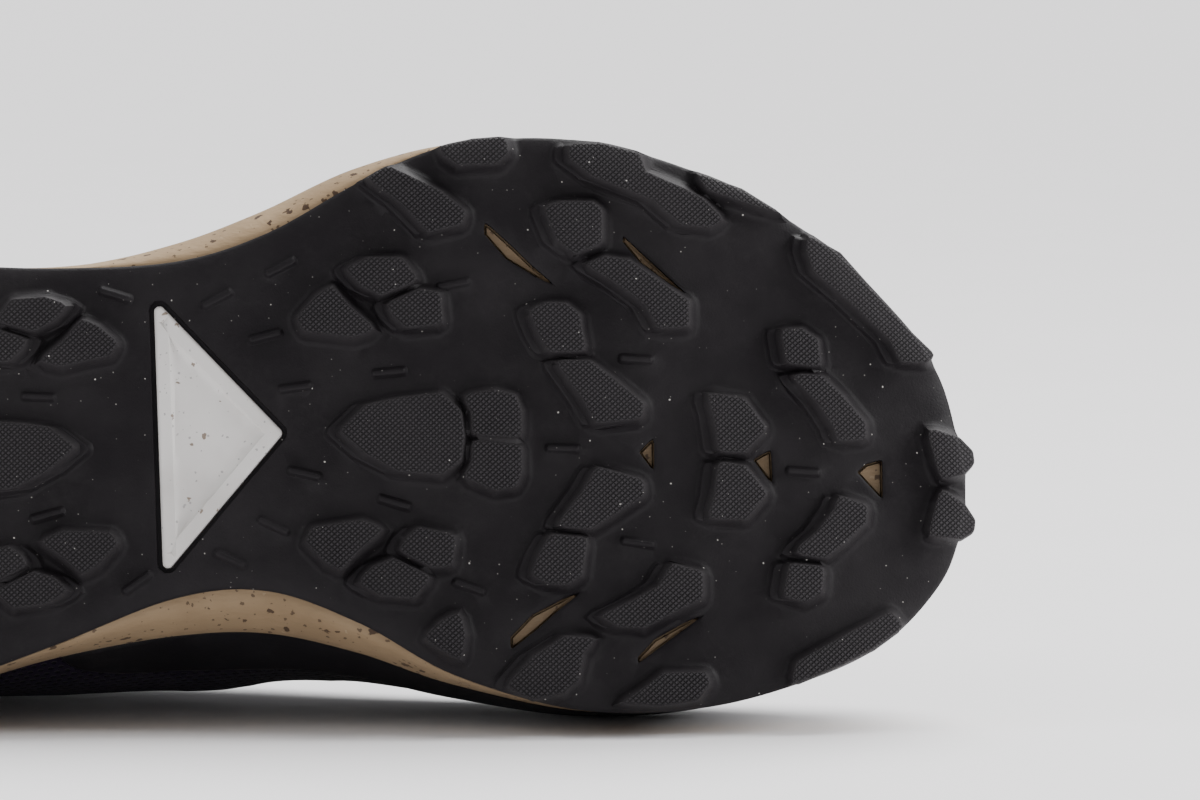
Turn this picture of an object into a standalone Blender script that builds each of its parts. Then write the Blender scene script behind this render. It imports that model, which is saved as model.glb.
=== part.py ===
# Trail running shoe for the right foot, lying on its medial side.
# It is modelled upright first: x from heel to toe, y towards the medial side, z up, and z = 0 under the lugs.
# At the end it is turned onto its side: toe towards +X, sole towards -Y, medial side down on z = 0.
# Tables hold shares: "along" of LENGTH, "across" of the width that belongs to that place.

import math
from collections import namedtuple

import bmesh
import bpy
from mathutils import Matrix, Vector
from mathutils.geometry import delaunay_2d_cdt

# Driving dimensions of the sole, in metres.
LENGTH = 0.300
BALL_WIDTH = 0.112
WAIST_WIDTH = 0.064
HEEL_WIDTH = 0.088
TOE_SPRING = 0.018
HEEL_RISE = 0.005
LUG_HEIGHT = 0.0038
LUG_DRAFT = 0.0012
LEDGE_RUN = 0.0026
LEDGE_HEIGHT = 0.0017
SHEET = 0.0024
EDGE_ROLL = 0.0010
EDGE_ROLL_WIDTH = 0.0060
HEEL_FOAM = 0.029
BALL_FOAM = 0.020
TOE_FOAM = 0.013
WAIST_FLARE = 0.007
STEP_DEPTH = 0.0008
RIM_WIDTH = 0.0072
FOOTBED_DEPTH = 0.0050
INSOLE_THICKNESS = 0.0044
PLATE_SPAN = 0.0544
PLATE_REACH = 0.0247
PLATE_CORNER = 0.0010
PLATE_GROOVE = 0.0008
PLATE_SINK = 0.0004

# Driving dimensions of the upper.
HEEL_HEIGHT = 0.064
ANKLE_HEIGHT = 0.051
INSTEP_HEIGHT = 0.073
VAMP_HEIGHT = 0.039
COLLAR_WIDTH = 0.069
THROAT_WIDTH = 0.040
THROAT_END = 0.209
UPPER_WALL = 0.0022
COLLAR_PAD = 0.0036
COLLAR_ROLL = 0.0012
BITE_INSET = 0.0018
OVERLAY_THICKNESS = 0.0011
TONGUE_THICKNESS = 0.0038
TONGUE_CLEARANCE = 0.0014
TONGUE_END_CLEARANCE = 0.0022
TONGUE_CROWN = 0.0022
TONGUE_RISE = 0.024
LACE_WIDTH = 0.0062
LACE_THICKNESS = 0.0016
LACE_CLEARANCE = 0.0016
LACE_CROWN = 0.0042

GAP = 0.0003
OVERLAY_GAP = 0.0008

# Relative density of the heavy and the light pieces; the rest is cloth and film.
DENSITY = {"outsole": 1.15, "waist_plate": 1.15, "midsole": 0.16, "insole": 0.2}

# How finely each loop is cut: pieces between two stations.
TREAD_STEPS = 4
FOAM_STEPS = 2
UPPER_STEPS = 2

# Spacing of the points inside a plan, and how far they stay off its border.
TREAD_GRID = (0.016, 0.006)
SEAT_GRID = (0.016, 0.005)
BED_GRID = (0.016, 0.005)
OVERLAY_ROW = 0.009
# Scale that makes a plan of stations and wall shares roughly even.
STATION_RUN = 0.022
WALL_RUN = 0.070
# Faces of a plan smaller than this, in square metres, are folds along a straight border.
SMALLEST_FACE = 5e-9

# Where each slope begins and how far it runs, as shares of LENGTH.
TOE_SPRING_FROM = 0.60
TOE_SPRING_POWER = 2.2
HEEL_RISE_TO = 0.13
WIDTH_EASE = [(0.25, 0.25), (0.50, 0.20)]
FOAM_EASE = [(0.22, 0.50), (0.72, 0.28)]
# The collar's padding begins at this share of the wall's height and is full after the second.
PAD_EASE = (0.45, 0.50)

Station = namedtuple("Station", "along lateral medial bulge_l bulge_m rim_l rim_m")
# Stations go from heel tip to toe tip. The edges are shares of the width there; bulge and rim are shares of
# WAIST_FLARE, how far the foam stands out at its widest and at its top edge.
STATIONS = [
    Station(0.000, 0.136, 0.136, 0.30, 0.30, -0.45, -0.45),
    Station(0.012, -0.136, 0.364, 0.30, 0.30, -0.50, -0.50),
    Station(0.050, -0.295, 0.565, 0.25, -0.40, -0.62, -1.00),
    Station(0.120, -0.364, 0.668, 0.20, -0.45, -0.70, -1.22),
    Station(0.220, -0.370, 0.664, 0.20, -0.45, -0.65, -1.16),
    Station(0.320, -0.384, 0.612, 0.05, -0.10, -0.40, -0.58),
    Station(0.400, -0.428, 0.590, 0.18, 0.20, 0.00, -0.10),
    Station(0.480, -0.497, 0.522, 0.72, 0.92, 0.42, 0.60),
    Station(0.540, -0.543, 0.470, 0.86, 1.05, 0.55, 0.70),
    Station(0.600, -0.5375, 0.443, 0.62, 0.70, 0.30, 0.40),
    Station(0.660, -0.509, 0.458, 0.20, 0.20, 0.00, 0.00),
    Station(0.740, -0.4955, 0.499, 0.02, -0.08, -0.18, -0.20),
    Station(0.820, -0.440, 0.4955, 0.00, -0.12, -0.28, -0.28),
    Station(0.890, -0.341, 0.4455, 0.00, -0.12, -0.38, -0.35),
    Station(0.940, -0.221, 0.379, 0.00, -0.12, -0.42, -0.40),
    Station(0.975, -0.102, 0.281, -0.02, -0.10, -0.42, -0.42),
    Station(0.989, 0.020, 0.196, -0.04, -0.08, -0.42, -0.42),
    Station(0.994, 0.107, 0.107, -0.05, -0.05, -0.42, -0.42),
]

# The line that the tread is mirrored about: along, across (a share of BALL_WIDTH).
TREAD_AXIS = [(0.00, 0.107), (0.10, 0.105), (0.25, 0.085), (0.38, 0.050), (0.50, 0.022), (0.59, 0.016),
              (0.655, 0.024), (0.69, 0.036), (0.76, 0.045), (0.84, 0.065), (0.91, 0.081), (0.96, 0.098),
              (1.0, 0.115)]

Lug = namedtuple("Lug", "name side heel shift ledge corners")
# Corners are percent of LENGTH from the heel tip, and percent of BALL_WIDTH out from the axis. A lug on "both"
# sides is mirrored, with the medial copy moved by shift; heel repeats it end for end under the heel.
LUGS = [
    Lug("rear leaf", "both", True, (0.5, -0.8), False,
        [(57.2, 23.7), (58.3, 25.4), (59.5, 21.6), (61.3, 17.6), (59.6, 16.1), (56.4, 17.3), (55.9, 19.9)]),
    Lug("rear arm outer", "both", True, (0.7, -1.8), True,
        [(59.0, 28.2), (60.6, 30.4), (62.8, 30.6), (64.0, 26.6), (61.4, 23.5), (60.1, 25.1)]),
    Lug("rear arm inner", "both", True, (0.7, -1.8), True,
        [(61.7, 22.4), (63.9, 25.2), (65.3, 24.7), (65.5, 19.0), (63.0, 18.0), (62.2, 20.0)]),
    Lug("rear centre leaf", "axis", True, (0, 0), True,
        [(58.8, 0.4), (60.4, 4.7), (62.5, 6.1), (65.3, 7.3), (66.6, 4.4), (66.8, 0),
         (66.6, -4.4), (65.3, -7.3), (62.5, -7.0), (60.4, -4.2), (58.8, -0.6)]),
    Lug("rear centre block", "both", True, (0, 0), False,
        [(66.6, 7.3), (68.7, 8.9), (70.1, 8.2), (70.5, 5.4), (70.5, 0.5), (67.2, 0.3), (67.2, 4.0)]),
    Lug("mid arm outer", "both", True, (0, 0), True,
        [(70.9, 23.2), (72.1, 24.6), (73.4, 24.6), (74.3, 22.8), (74.7, 16.0), (72.2, 15.7), (71.5, 19.0)]),
    Lug("mid arm inner", "both", True, (0, 0), True,
        [(72.5, 14.6), (74.9, 14.8), (76.5, 11.8), (78.4, 8.1), (78.3, 5.2), (75.2, 3.6), (74.3, 8.0),
         (73.4, 11.2)]),
    Lug("side arm outer", "lateral", True, (0, 0), True,
        [(71.9, 41.2), (73.2, 42.4), (75.2, 42.6), (75.8, 41.3), (75.8, 35.3), (74.0, 32.9), (72.8, 35.3)]),
    Lug("side arm medial end", "medial", False, (0, 0), True,
        [(69.2, 42.6), (71.0, 44.6), (73.0, 43.4), (74.0, 41.0), (74.4, 36.0), (75.3, 33.4), (73.1, 33.2),
         (71.0, 37.0)]),
    Lug("side arm inner", "both", True, (0.7, -1.8), True,
        [(74.4, 31.5), (75.9, 33.2), (77.5, 33.0), (79.6, 29.6), (81.4, 26.8), (81.4, 22.0), (79.3, 21.1),
         (78.4, 25.3), (76.5, 28.5)]),
    Lug("front centre block", "both", True, (0, 0), True,
        [(82.3, 11.2), (84.9, 10.7), (86.4, 5.7), (84.9, 1.0), (83.1, 0.7), (82.8, 6.8)]),
    Lug("front arm outer", "both", True, (0, 0), True,
        [(87.2, 23.5), (88.7, 24.0), (89.8, 22.3), (90.0, 17.3), (87.6, 17.3)]),
    Lug("front arm inner", "both", True, (0, 0), True,
        [(87.6, 15.9), (90.0, 16.1), (91.4, 12.8), (92.8, 8.8), (92.9, 5.7), (90.9, 4.5), (90.6, 7.1),
         (89.5, 11.2)]),
    Lug("waist edge bar", "lateral", False, (0, 0), True,
        [(61.9, 46.7), (65.4, 42.4), (67.0, 39.4), (66.8, 36.9), (64.5, 34.8), (62.8, 39.6), (60.4, 44.3)]),
    Lug("ball edge pad", "lateral", False, (0, 0), False,
        [(65.2, 50.3), (67.4, 52.4), (69.6, 53.4), (69.8, 50.3), (69.0, 48.1), (66.4, 47.1), (65.6, 48.3)]),
    Lug("ball edge bar", "lateral", False, (0, 0), True,
        [(73.6, 52.4), (75.8, 53.1), (78.3, 51.9), (78.7, 48.6), (81.1, 46.5), (82.4, 45.0), (83.8, 41.5),
         (82.7, 39.8), (80.8, 39.8), (79.0, 43.6), (75.2, 46.7), (73.6, 49.7)]),
    Lug("ball edge sliver", "lateral", False, (0, 0), False,
        [(81.7, 49.7), (84.9, 47.6), (87.7, 43.6), (86.0, 44.3), (82.6, 46.4)]),
    Lug("toe edge bar", "lateral", True, (0, 0), True,
        [(89.1, 40.7), (91.3, 38.2), (93.8, 31.5), (95.9, 26.1), (97.5, 22.8), (96.9, 20.9), (95.1, 20.1),
         (94.4, 23.7), (91.9, 29.2), (89.4, 34.1), (89.0, 37.7)]),
    Lug("waist edge pad", "medial", False, (0, 0), False,
        [(66.4, 30.1), (66.8, 34.4), (66.5, 39.3), (65.3, 37.7), (63.9, 35.6), (65.0, 32.5)]),
    Lug("medial ball pad", "medial", False, (0, 0), False,
        [(79.4, 38.4), (82.2, 37.5), (82.5, 39.4), (81.7, 42.7), (79.3, 44.3), (76.4, 44.5), (77.8, 42.0)]),
    Lug("medial toe bar", "medial", False, (0, 0), False,
        [(94.3, 23.5), (95.2, 26.0), (93.2, 30.6), (91.1, 34.1), (87.6, 38.8), (88.0, 34.4), (91.4, 28.5)]),
    Lug("toe claw", "both", False, (0, 0), False,
        [(96.7, 9.7), (99.0, 9.0), (99.9, 7.1), (100.0, 5.0), (99.3, 2.6), (97.7, 0.5), (97.3, 3.5)]),
]
# Where the heel copy is mirrored end for end, and how wide its pattern is beside that of the ball.
HEEL_MIRROR = 50.2
HEEL_SPREAD = 1.12

# Openings in the rubber that show the foam, in the same shares as the lugs.
WINDOWS = [
    Lug("rear slit", "both", False, (1.5, -2.6), False,
        [(68.1, 38.6), (69.8, 34.8), (71.2, 31.3), (72.8, 27.7), (71.5, 29.2), (69.5, 32.2), (68.1, 36.2)]),
    Lug("front slit", "both", False, (0.7, -0.4), False,
        [(77.1, 37.5), (79.1, 33.0), (81.4, 27.9), (80.2, 29.4), (78.2, 32.9), (77.1, 36.3)]),
    Lug("rear window", "axis", False, (0, 0), False, [(79.0, 2.8), (79.0, -3.6), (78.0, -0.2)]),
    Lug("middle window", "axis", False, (0, 0), False, [(86.6, 2.6), (86.7, -3.8), (85.4, 0.5)]),
    Lug("front window", "axis", False, (0, 0), False, [(93.9, 3.1), (93.9, -4.2), (92.2, 0.2), (92.8, 1.9)]),
]

# Corners of the waist plate: shares of PLATE_REACH along and PLATE_SPAN across, from PLATE_AT on the tread.
PLATE_CORNERS = [(-0.02, -0.50), (1.00, -0.011), (0.05, 0.50)]
PLATE_AT = (0.4683, 0.0208)

Level = namedtuple("Level", "rise bulge rim step")
# Levels of the foam's side wall, from the rubber up to the rim.
LEVELS = [
    Level(0.14, 0.62, 0.00, 0),
    Level(0.42, 1.00, 0.00, 0),
    Level(0.46, 0.96, 0.04, 1),
    Level(0.54, 0.86, 0.14, 1),
    Level(0.58, 0.80, 0.20, 0),
    Level(1.00, 0.00, 1.00, 0),
]

Top = namedtuple("Top", "along half height pad swell rise lean dip")
# The upper's top edge for each station: along is a share of THROAT_END, half of COLLAR_WIDTH at the collar and
# of THROAT_WIDTH at the throat, height of the named height there. swell, rise, lean and dip shape the wall.
TOPS = [
    Top(0.050, 0.00, 1.00, 1.0, 0.036, 0.40, -0.30, 0.34),
    Top(0.056, 0.13, 1.00, 1.0, 0.036, 0.40, -0.25, 0.34),
    Top(0.084, 0.27, 0.98, 1.0, 0.034, 0.40, -0.10, 0.34),
    Top(0.160, 0.41, 0.92, 1.0, 0.030, 0.38, 0.00, 0.34),
    Top(0.276, 0.485, 1.02, 1.0, 0.026, 0.38, 0.10, 0.34),
    Top(0.390, 0.490, 1.02, 1.0, 0.024, 0.38, 0.22, 0.32),
    Top(0.480, 0.435, 1.22, 0.5, 0.024, 0.42, 0.38, 0.26),
    Top(0.552, 0.590, 0.97, 0.0, 0.026, 0.45, 0.50, 0.18),
    Top(0.612, 0.510, 0.95, 0.0, 0.027, 0.48, 0.54, 0.15),
    Top(0.680, 0.460, 0.90, 0.0, 0.027, 0.52, 0.56, 0.13),
    Top(0.745, 0.420, 0.83, 0.0, 0.026, 0.56, 0.57, 0.12),
    Top(0.818, 0.375, 0.74, 0.0, 0.025, 0.60, 0.57, 0.12),
    Top(0.885, 0.325, 0.665, 0.0, 0.023, 0.66, 0.56, 0.11),
    Top(0.938, 0.265, 1.13, 0.0, 0.021, 0.74, 0.56, 0.09),
    Top(0.971, 0.190, 1.064, 0.0, 0.019, 0.82, 0.56, 0.08),
    Top(0.990, 0.115, 1.026, 0.0, 0.018, 0.88, 0.56, 0.07),
    Top(0.998, 0.050, 1.008, 0.0, 0.018, 0.92, 0.56, 0.06),
    Top(1.000, 0.00, 1.00, 0.0, 0.018, 0.94, 0.56, 0.06),
]
# What the swell gains on the medial side, where the upper hangs out over the narrow waist: share of LENGTH, share
# of BALL_WIDTH.
WAIST_SWELL = [(0.26, 0.000), (0.32, 0.045), (0.40, 0.140), (0.48, 0.215), (0.54, 0.210), (0.60, 0.135), (0.66, 0.045),
               (0.72, 0.000)]
# Which named height and width each station's shares belong to.
HEEL_STATIONS = range(0, 4)
ANKLE_STATIONS = range(4, 7)
COLLAR_STATIONS = range(0, 7)
VAMP_STATIONS = range(13, 18)
# The middle line of the opening: across at the heel and at the end of the throat, shares of BALL_WIDTH.
OPENING_AXIS = (0.107, 0.050)
UPPER_ROWS = [0.0, 0.12, 0.28, 0.46, 0.64, 0.82, 1.0]

# Overlays: rows of station and share of the wall's height, up to which the toe cap and the heel counter reach
# and from which the eyestay starts.
TOE_CAP = [(6.0, 0.11), (8.0, 0.13), (11.0, 0.16), (13.0, 0.24), (14.5, 0.34), (17.0, 0.40),
           (19.5, 0.34), (21.0, 0.24), (23.0, 0.16), (26.0, 0.14), (28.0, 0.12)]
HEEL_COUNTER = [(-5.5, 0.16), (-4.0, 0.32), (-2.0, 0.54), (0.0, 0.62), (2.0, 0.54), (4.0, 0.32), (5.5, 0.16)]
EYESTAY = [(6.6, 0.80), (8.0, 0.76), (11.0, 0.80), (14.0, 0.86), (17.0, 0.88), (20.0, 0.86), (23.0, 0.80),
           (26.0, 0.76), (27.4, 0.80)]
LACE_STATIONS = [7.4, 8.7, 9.9, 11.0, 12.0]
LACE_SEAT = 0.925
OVERLAY_FOOT = 0.015
OVERLAY_HEAD = 0.985

# The tongue's sections: stations of the throat that it passes, shares of the wall's height at its sides, and
# station and share of the places that its end passes under the vamp.
TONGUE_STATIONS = [7.15, 8.0, 9.0, 10.0, 11.0, 12.0, 13.0, 14.0, 15.0]
TONGUE_SIDES = [0.88, 0.94, 1.0]
TONGUE_END = [(14.4, 0.91), (15.2, 0.90), (16.1, 0.89), (17.0, 0.88), (17.9, 0.89), (18.8, 0.90), (19.6, 0.91)]
CROWN_RUN = 3.0
FLAP_NARROWING = 0.80
TONGUE_SIDE_TAPER = 0.55


def blend(a, b, share):
    return a + (b - a) * share


def smooth(share):
    share = min(max(share, 0.0), 1.0)
    return share * share * (3 - 2 * share)


def spline(values, at, closed):
    """Catmull-Rom through evenly spaced values."""
    count = len(values)
    first = math.floor(at)
    share = at - first
    picked = []
    for step in (-1, 0, 1, 2):
        index = first + step
        index = index % count if closed else min(max(index, 0), count - 1)
        picked.append(values[index])
    p0, p1, p2, p3 = picked
    return 0.5 * (2 * p1 + (p2 - p0) * share + (2 * p0 - 5 * p1 + 4 * p2 - p3) * share ** 2
                  + (3 * p1 - p0 - 3 * p2 + p3) * share ** 3)


def through(rows, at):
    """The value at a place in rows of (place, value), eased from row to row."""
    if at <= rows[0][0]:
        return rows[0][1]
    for (low, first), (high, last) in zip(rows, rows[1:]):
        if at <= high:
            return blend(first, last, (at - low) / (high - low))
    return rows[-1][1]


def width_at(along):
    """The named width that edge shares belong to, eased between heel, waist and ball."""
    (heel_end, heel_run), (ball_start, ball_run) = WIDTH_EASE
    if along < ball_start:
        return blend(HEEL_WIDTH, WAIST_WIDTH, smooth((along - heel_end) / heel_run))
    return blend(WAIST_WIDTH, BALL_WIDTH, smooth((along - ball_start) / ball_run))


def ground(x):
    """Height of the lugs' faces above the floor under an upright shoe: flat, with toe spring and heel rise."""
    along = x / LENGTH
    toe = max(0.0, (along - TOE_SPRING_FROM) / (1 - TOE_SPRING_FROM)) ** TOE_SPRING_POWER
    heel = max(0.0, (HEEL_RISE_TO - along) / HEEL_RISE_TO) ** 2
    return TOE_SPRING * toe + HEEL_RISE * heel


def seat(x):
    """Where the rubber meets the foam."""
    return ground(x) + LUG_HEIGHT + SHEET


def rim(x):
    """Top edge of the foam, on which the upper stands."""
    along = x / LENGTH
    (back, back_run), (front, front_run) = FOAM_EASE
    foam = blend(HEEL_FOAM, BALL_FOAM, smooth((along - back) / back_run))
    foam = blend(foam, TOE_FOAM, smooth((along - front) / front_run))
    return seat(x) + foam


def footbed(x):
    return rim(x) - FOOTBED_DEPTH


# Closed loops round the shoe: heel tip, lateral side, toe tip, medial side. A place on one is a station.
LAST = len(STATIONS) - 1
AROUND = 2 * LAST


def round_the_shoe(lateral, medial):
    """One value per station all the way round, from a column for each side."""
    return list(lateral) + list(medial)[-2:0:-1]


EDGE_X = round_the_shoe([s.along * LENGTH for s in STATIONS], [s.along * LENGTH for s in STATIONS])
EDGE_Y = round_the_shoe([s.lateral * width_at(s.along) for s in STATIONS],
                        [s.medial * width_at(s.along) for s in STATIONS])
EDGE_Y[0] = OPENING_AXIS[0] * BALL_WIDTH
EDGE_Y[LAST] = STATIONS[LAST].lateral * BALL_WIDTH
BULGE = round_the_shoe([s.bulge_l for s in STATIONS], [s.bulge_m for s in STATIONS])
RIM = round_the_shoe([s.rim_l for s in STATIONS], [s.rim_m for s in STATIONS])


def edge(at):
    return Vector((spline(EDGE_X, at, True), spline(EDGE_Y, at, True)))


def outward(at):
    """Outward direction in plan; the loop runs anticlockwise seen from above."""
    step = 0.02
    run = edge(at + step) - edge(at - step)
    return Vector((run.y, -run.x)).normalized()


def places(steps):
    return [index / steps for index in range(AROUND * steps)]


def offset_edge(at, distance):
    return edge(at) + outward(at) * distance


def foam_at(at, bulge, rim_share, inset):
    """A point of the foam's side in plan: bulge and rim are shares of its two flares."""
    flare = WAIST_FLARE * (bulge * spline(BULGE, at, True) + rim_share * spline(RIM, at, True))
    return offset_edge(at, flare - inset)


def loop_area(loop):
    return sum(p[0] * q[1] - q[0] * p[1] for p, q in zip(loop, loop[1:] + loop[:1])) / 2


def grow(loop, distance):
    """A loop moved outward by a distance, with mitred corners."""
    turn = 1 if loop_area(loop) > 0 else -1
    grown = []
    for before, here, after in zip(loop[-1:] + loop[:-1], loop, loop[1:] + loop[:1]):
        first = (Vector(here) - Vector(before)).normalized()
        second = (Vector(after) - Vector(here)).normalized()
        normal = Vector((first.y + second.y, -first.x - second.x)).normalized() * turn
        half = max(0.5, normal.dot(Vector((first.y, -first.x)) * turn))
        grown.append(Vector(here) + normal * (distance / half))
    return [(p.x, p.y) for p in grown]


def inside(point, loop):
    x, y = point
    hit = False
    for (x0, y0), (x1, y1) in zip(loop, loop[1:] + loop[:1]):
        if (y0 > y) != (y1 > y) and x < x0 + (y - y0) * (x1 - x0) / (y1 - y0):
            hit = not hit
    return hit


def distance_to(point, loop):
    """Distance to a loop, negative inside it."""
    x, y = point
    best = 1.0
    for (x0, y0), (x1, y1) in zip(loop, loop[1:] + loop[:1]):
        dx, dy = x1 - x0, y1 - y0
        share = min(max(((x - x0) * dx + (y - y0) * dy) / (dx * dx + dy * dy), 0.0), 1.0)
        best = min(best, math.hypot(x - x0 - share * dx, y - y0 - share * dy))
    return -best if inside(point, loop) else best


def tread_place(along, out, side):
    """A tread point from percent of length and percent of ball width out from the tread's axis."""
    x = along / 100 * LENGTH
    return (x, (through(TREAD_AXIS, along / 100) + side * out / 100) * BALL_WIDTH)


def tread_copies(lug):
    """The loops of one row of the lug or window table: its sides and its copy under the heel."""
    sides = {"both": (-1, 1), "lateral": (-1,), "medial": (1,), "axis": (-1,)}[lug.side]
    loops = []
    for side in sides:
        shift = lug.shift if side > 0 else (0, 0)
        loops.append([tread_place(a + shift[0], o + shift[1], side) for a, o in lug.corners])
    if lug.heel:
        spread = HEEL_SPREAD * HEEL_WIDTH / BALL_WIDTH
        for side in (-1, 1) if lug.side != "axis" else (-1,):
            loops.append([tread_place(2 * HEEL_MIRROR - a, o * spread, side) for a, o in lug.corners])
    return loops


def triangulate(loops, spots):
    """Constrained Delaunay triangles of a plan, worked in millimetres; also where each given point went."""
    scale = 1000.0
    points, lines = [], []
    for loop in loops:
        first = len(points)
        points += [Vector((p[0], p[1])) * scale for p in loop]
        lines += [(first + i, first + (i + 1) % len(loop)) for i in range(len(loop))]
    points += [Vector((p[0], p[1])) * scale for p in spots]
    out = delaunay_2d_cdt(points, lines, [], 0, 1e-4)
    plan = [(p.x / scale, p.y / scale) for p in out[0]]
    return plan, [list(face) for face in out[2]], out[3]


def centre_of(face, plan):
    return (sum(plan[i][0] for i in face) / 3, sum(plan[i][1] for i in face) / 3)


def border(faces):
    """Edges that belong to one face only, in that face's order."""
    seen = {}
    for face in faces:
        for a, b in zip(face, face[1:] + face[:1]):
            seen[(a, b)] = True
    return [pair for pair in seen if (pair[1], pair[0]) not in seen]


def chain(edges):
    """Border edges as closed loops of point numbers."""
    following = dict(edges)
    loops = []
    while following:
        start = next(iter(following))
        loop = [start]
        step = following.pop(start)
        while step != start:
            loop.append(step)
            step = following.pop(step)
        loops.append(loop)
    return loops


def whole(faces, keep, plan):
    """The faces to keep, with each spot filled where they would touch at one point only."""
    kept = [keep(centre_of(face, plan)) for face in faces]
    while True:
        leaving = [a for a, _ in border([face for face, wanted in zip(faces, kept) if wanted])]
        pinched = {a for a in leaving if leaving.count(a) > 1}
        if not pinched:
            return turned_up([face for face, wanted in zip(faces, kept) if wanted], plan)
        kept = [wanted or not pinched.isdisjoint(face) for face, wanted in zip(faces, kept)]


def area_of(face, plan):
    (ax, ay), (bx, by), (cx, cy) = [plan[i] for i in face]
    return ((bx - ax) * (cy - ay) - (cx - ax) * (by - ay)) / 2


def turned_up(faces, plan):
    """Faces wound anticlockwise in plan."""
    return [face if area_of(face, plan) > 0 else face[::-1] for face in faces]


def grid_spots(loop, spacing, margin):
    """Points of an even grid inside a loop, at least margin from it."""
    xs = [p[0] for p in loop]
    ys = [p[1] for p in loop]
    spots = []
    for i in range(1, int((max(xs) - min(xs)) / spacing) + 1):
        for j in range(1, int((max(ys) - min(ys)) / spacing) + 1):
            spot = (min(xs) + (i - 0.5 * (j % 2)) * spacing, min(ys) + j * spacing)
            if distance_to(spot, loop) < -margin:
                spots.append(spot)
    return spots


def add_object(name, points, faces, material, smooth_angle=35):
    mesh = bpy.data.meshes.new(name)
    mesh.from_pydata([tuple(p) for p in points], [], [tuple(face) for face in faces])
    mesh.materials.append(material)
    mesh.shade_smooth()
    mesh.set_sharp_from_angle(angle=math.radians(smooth_angle))
    piece = bpy.data.objects.new(name, mesh)
    bpy.context.scene.collection.objects.link(piece)
    return piece


def make_material(name, colour, roughness, metallic=0.0):
    material = bpy.data.materials.new(name)
    material.use_nodes = True
    shader = material.node_tree.nodes["Principled BSDF"]
    shader.inputs["Base Color"].default_value = (*colour, 1.0)
    shader.inputs["Roughness"].default_value = roughness
    shader.inputs["Metallic"].default_value = metallic
    return material


def slab(name, loops, keep, spots, low, high, material):
    """A closed solid over a plan: the kept triangles at two heights and a wall round their border."""
    plan, faces, _ = triangulate(loops, spots)
    faces = whole(turned_up(faces, plan), keep, plan)
    used = sorted({i for face in faces for i in face})
    place = {old: new for new, old in enumerate(used)}
    count = len(used)
    points = [low(plan[i]) for i in used] + [high(plan[i]) for i in used]
    solid = []
    for face in faces:
        solid.append([place[i] for i in reversed(face)])
        solid.append([place[i] + count for i in face])
    for a, b in border(faces):
        solid.append([place[a], place[b], place[b] + count, place[a] + count])
    return add_object(name, points, solid, material)


def plate_loop(extra):
    """The waist plate's outline with rounded corners, grown by extra."""
    base_x, base_y = PLATE_AT[0] * LENGTH, PLATE_AT[1] * BALL_WIDTH
    corners = [Vector((base_x + a * PLATE_REACH, base_y + c * PLATE_SPAN)) for a, c in PLATE_CORNERS]
    loop = []
    for before, here, after in zip(corners[-1:] + corners[:-1], corners, corners[1:] + corners[:1]):
        to_before = (before - here).normalized()
        to_after = (after - here).normalized()
        half = to_before.angle(to_after) / 2
        centre = here + (to_before + to_after).normalized() * PLATE_CORNER / math.sin(half)
        start = here + to_before * PLATE_CORNER / math.tan(half) - centre
        end = here + to_after * PLATE_CORNER / math.tan(half) - centre
        for step in range(4):
            spoke = start.lerp(end, step / 3).normalized() * PLATE_CORNER
            loop.append(((centre + spoke).x, (centre + spoke).y))
    return grow(loop, extra)


class Tread:
    """The rubber's lower face: a height for each point of the plan."""

    def __init__(self):
        self.outline = [tuple(edge(at)) for at in places(TREAD_STEPS)]
        self.windows = [loop for row in WINDOWS for loop in tread_copies(row)]
        self.windows.append(plate_loop(PLATE_GROOVE))
        self.lugs = []
        for row in LUGS:
            for loop in tread_copies(row):
                self.add(loop, LUG_HEIGHT)
                if row.ledge:
                    centre_x = sum(p[0] for p in loop) / len(loop)
                    back = -LEDGE_RUN if centre_x > HEEL_MIRROR / 100 * LENGTH else LEDGE_RUN
                    self.add([(p[0] + back, p[1]) for p in loop], LEDGE_HEIGHT)

    def add(self, loop, height):
        run = LUG_DRAFT * height / LUG_HEIGHT
        foot = grow(loop, run)
        xs = [p[0] for p in foot]
        ys = [p[1] for p in foot]
        self.lugs.append((loop, foot, run, height, (min(xs), max(xs), min(ys), max(ys))))

    def loops(self):
        found = [self.outline] + self.windows
        for top, foot, _, _, _ in self.lugs:
            found += [top, foot]
        return found

    def keep(self, point):
        if any(inside(point, loop) for loop in self.windows):
            return False
        if inside(point, self.outline):
            return True
        return any(inside(point, top) for top, _, _, height, _ in self.lugs if height == LUG_HEIGHT)

    def relief(self, point):
        best = 0.0
        for top, _, run, height, (x0, x1, y0, y1) in self.lugs:
            if x0 <= point[0] <= x1 and y0 <= point[1] <= y1:
                rise = height * min(1.0, max(0.0, 1 - distance_to(point, top) / run))
                best = max(best, rise)
        return best

    def low(self, point):
        depth = -distance_to(point, self.outline)
        roll = EDGE_ROLL * max(0.0, 1 - depth / EDGE_ROLL_WIDTH) ** 2
        height = ground(point[0]) + LUG_HEIGHT + roll - self.relief(point)
        return Vector((point[0], point[1], height))


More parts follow.
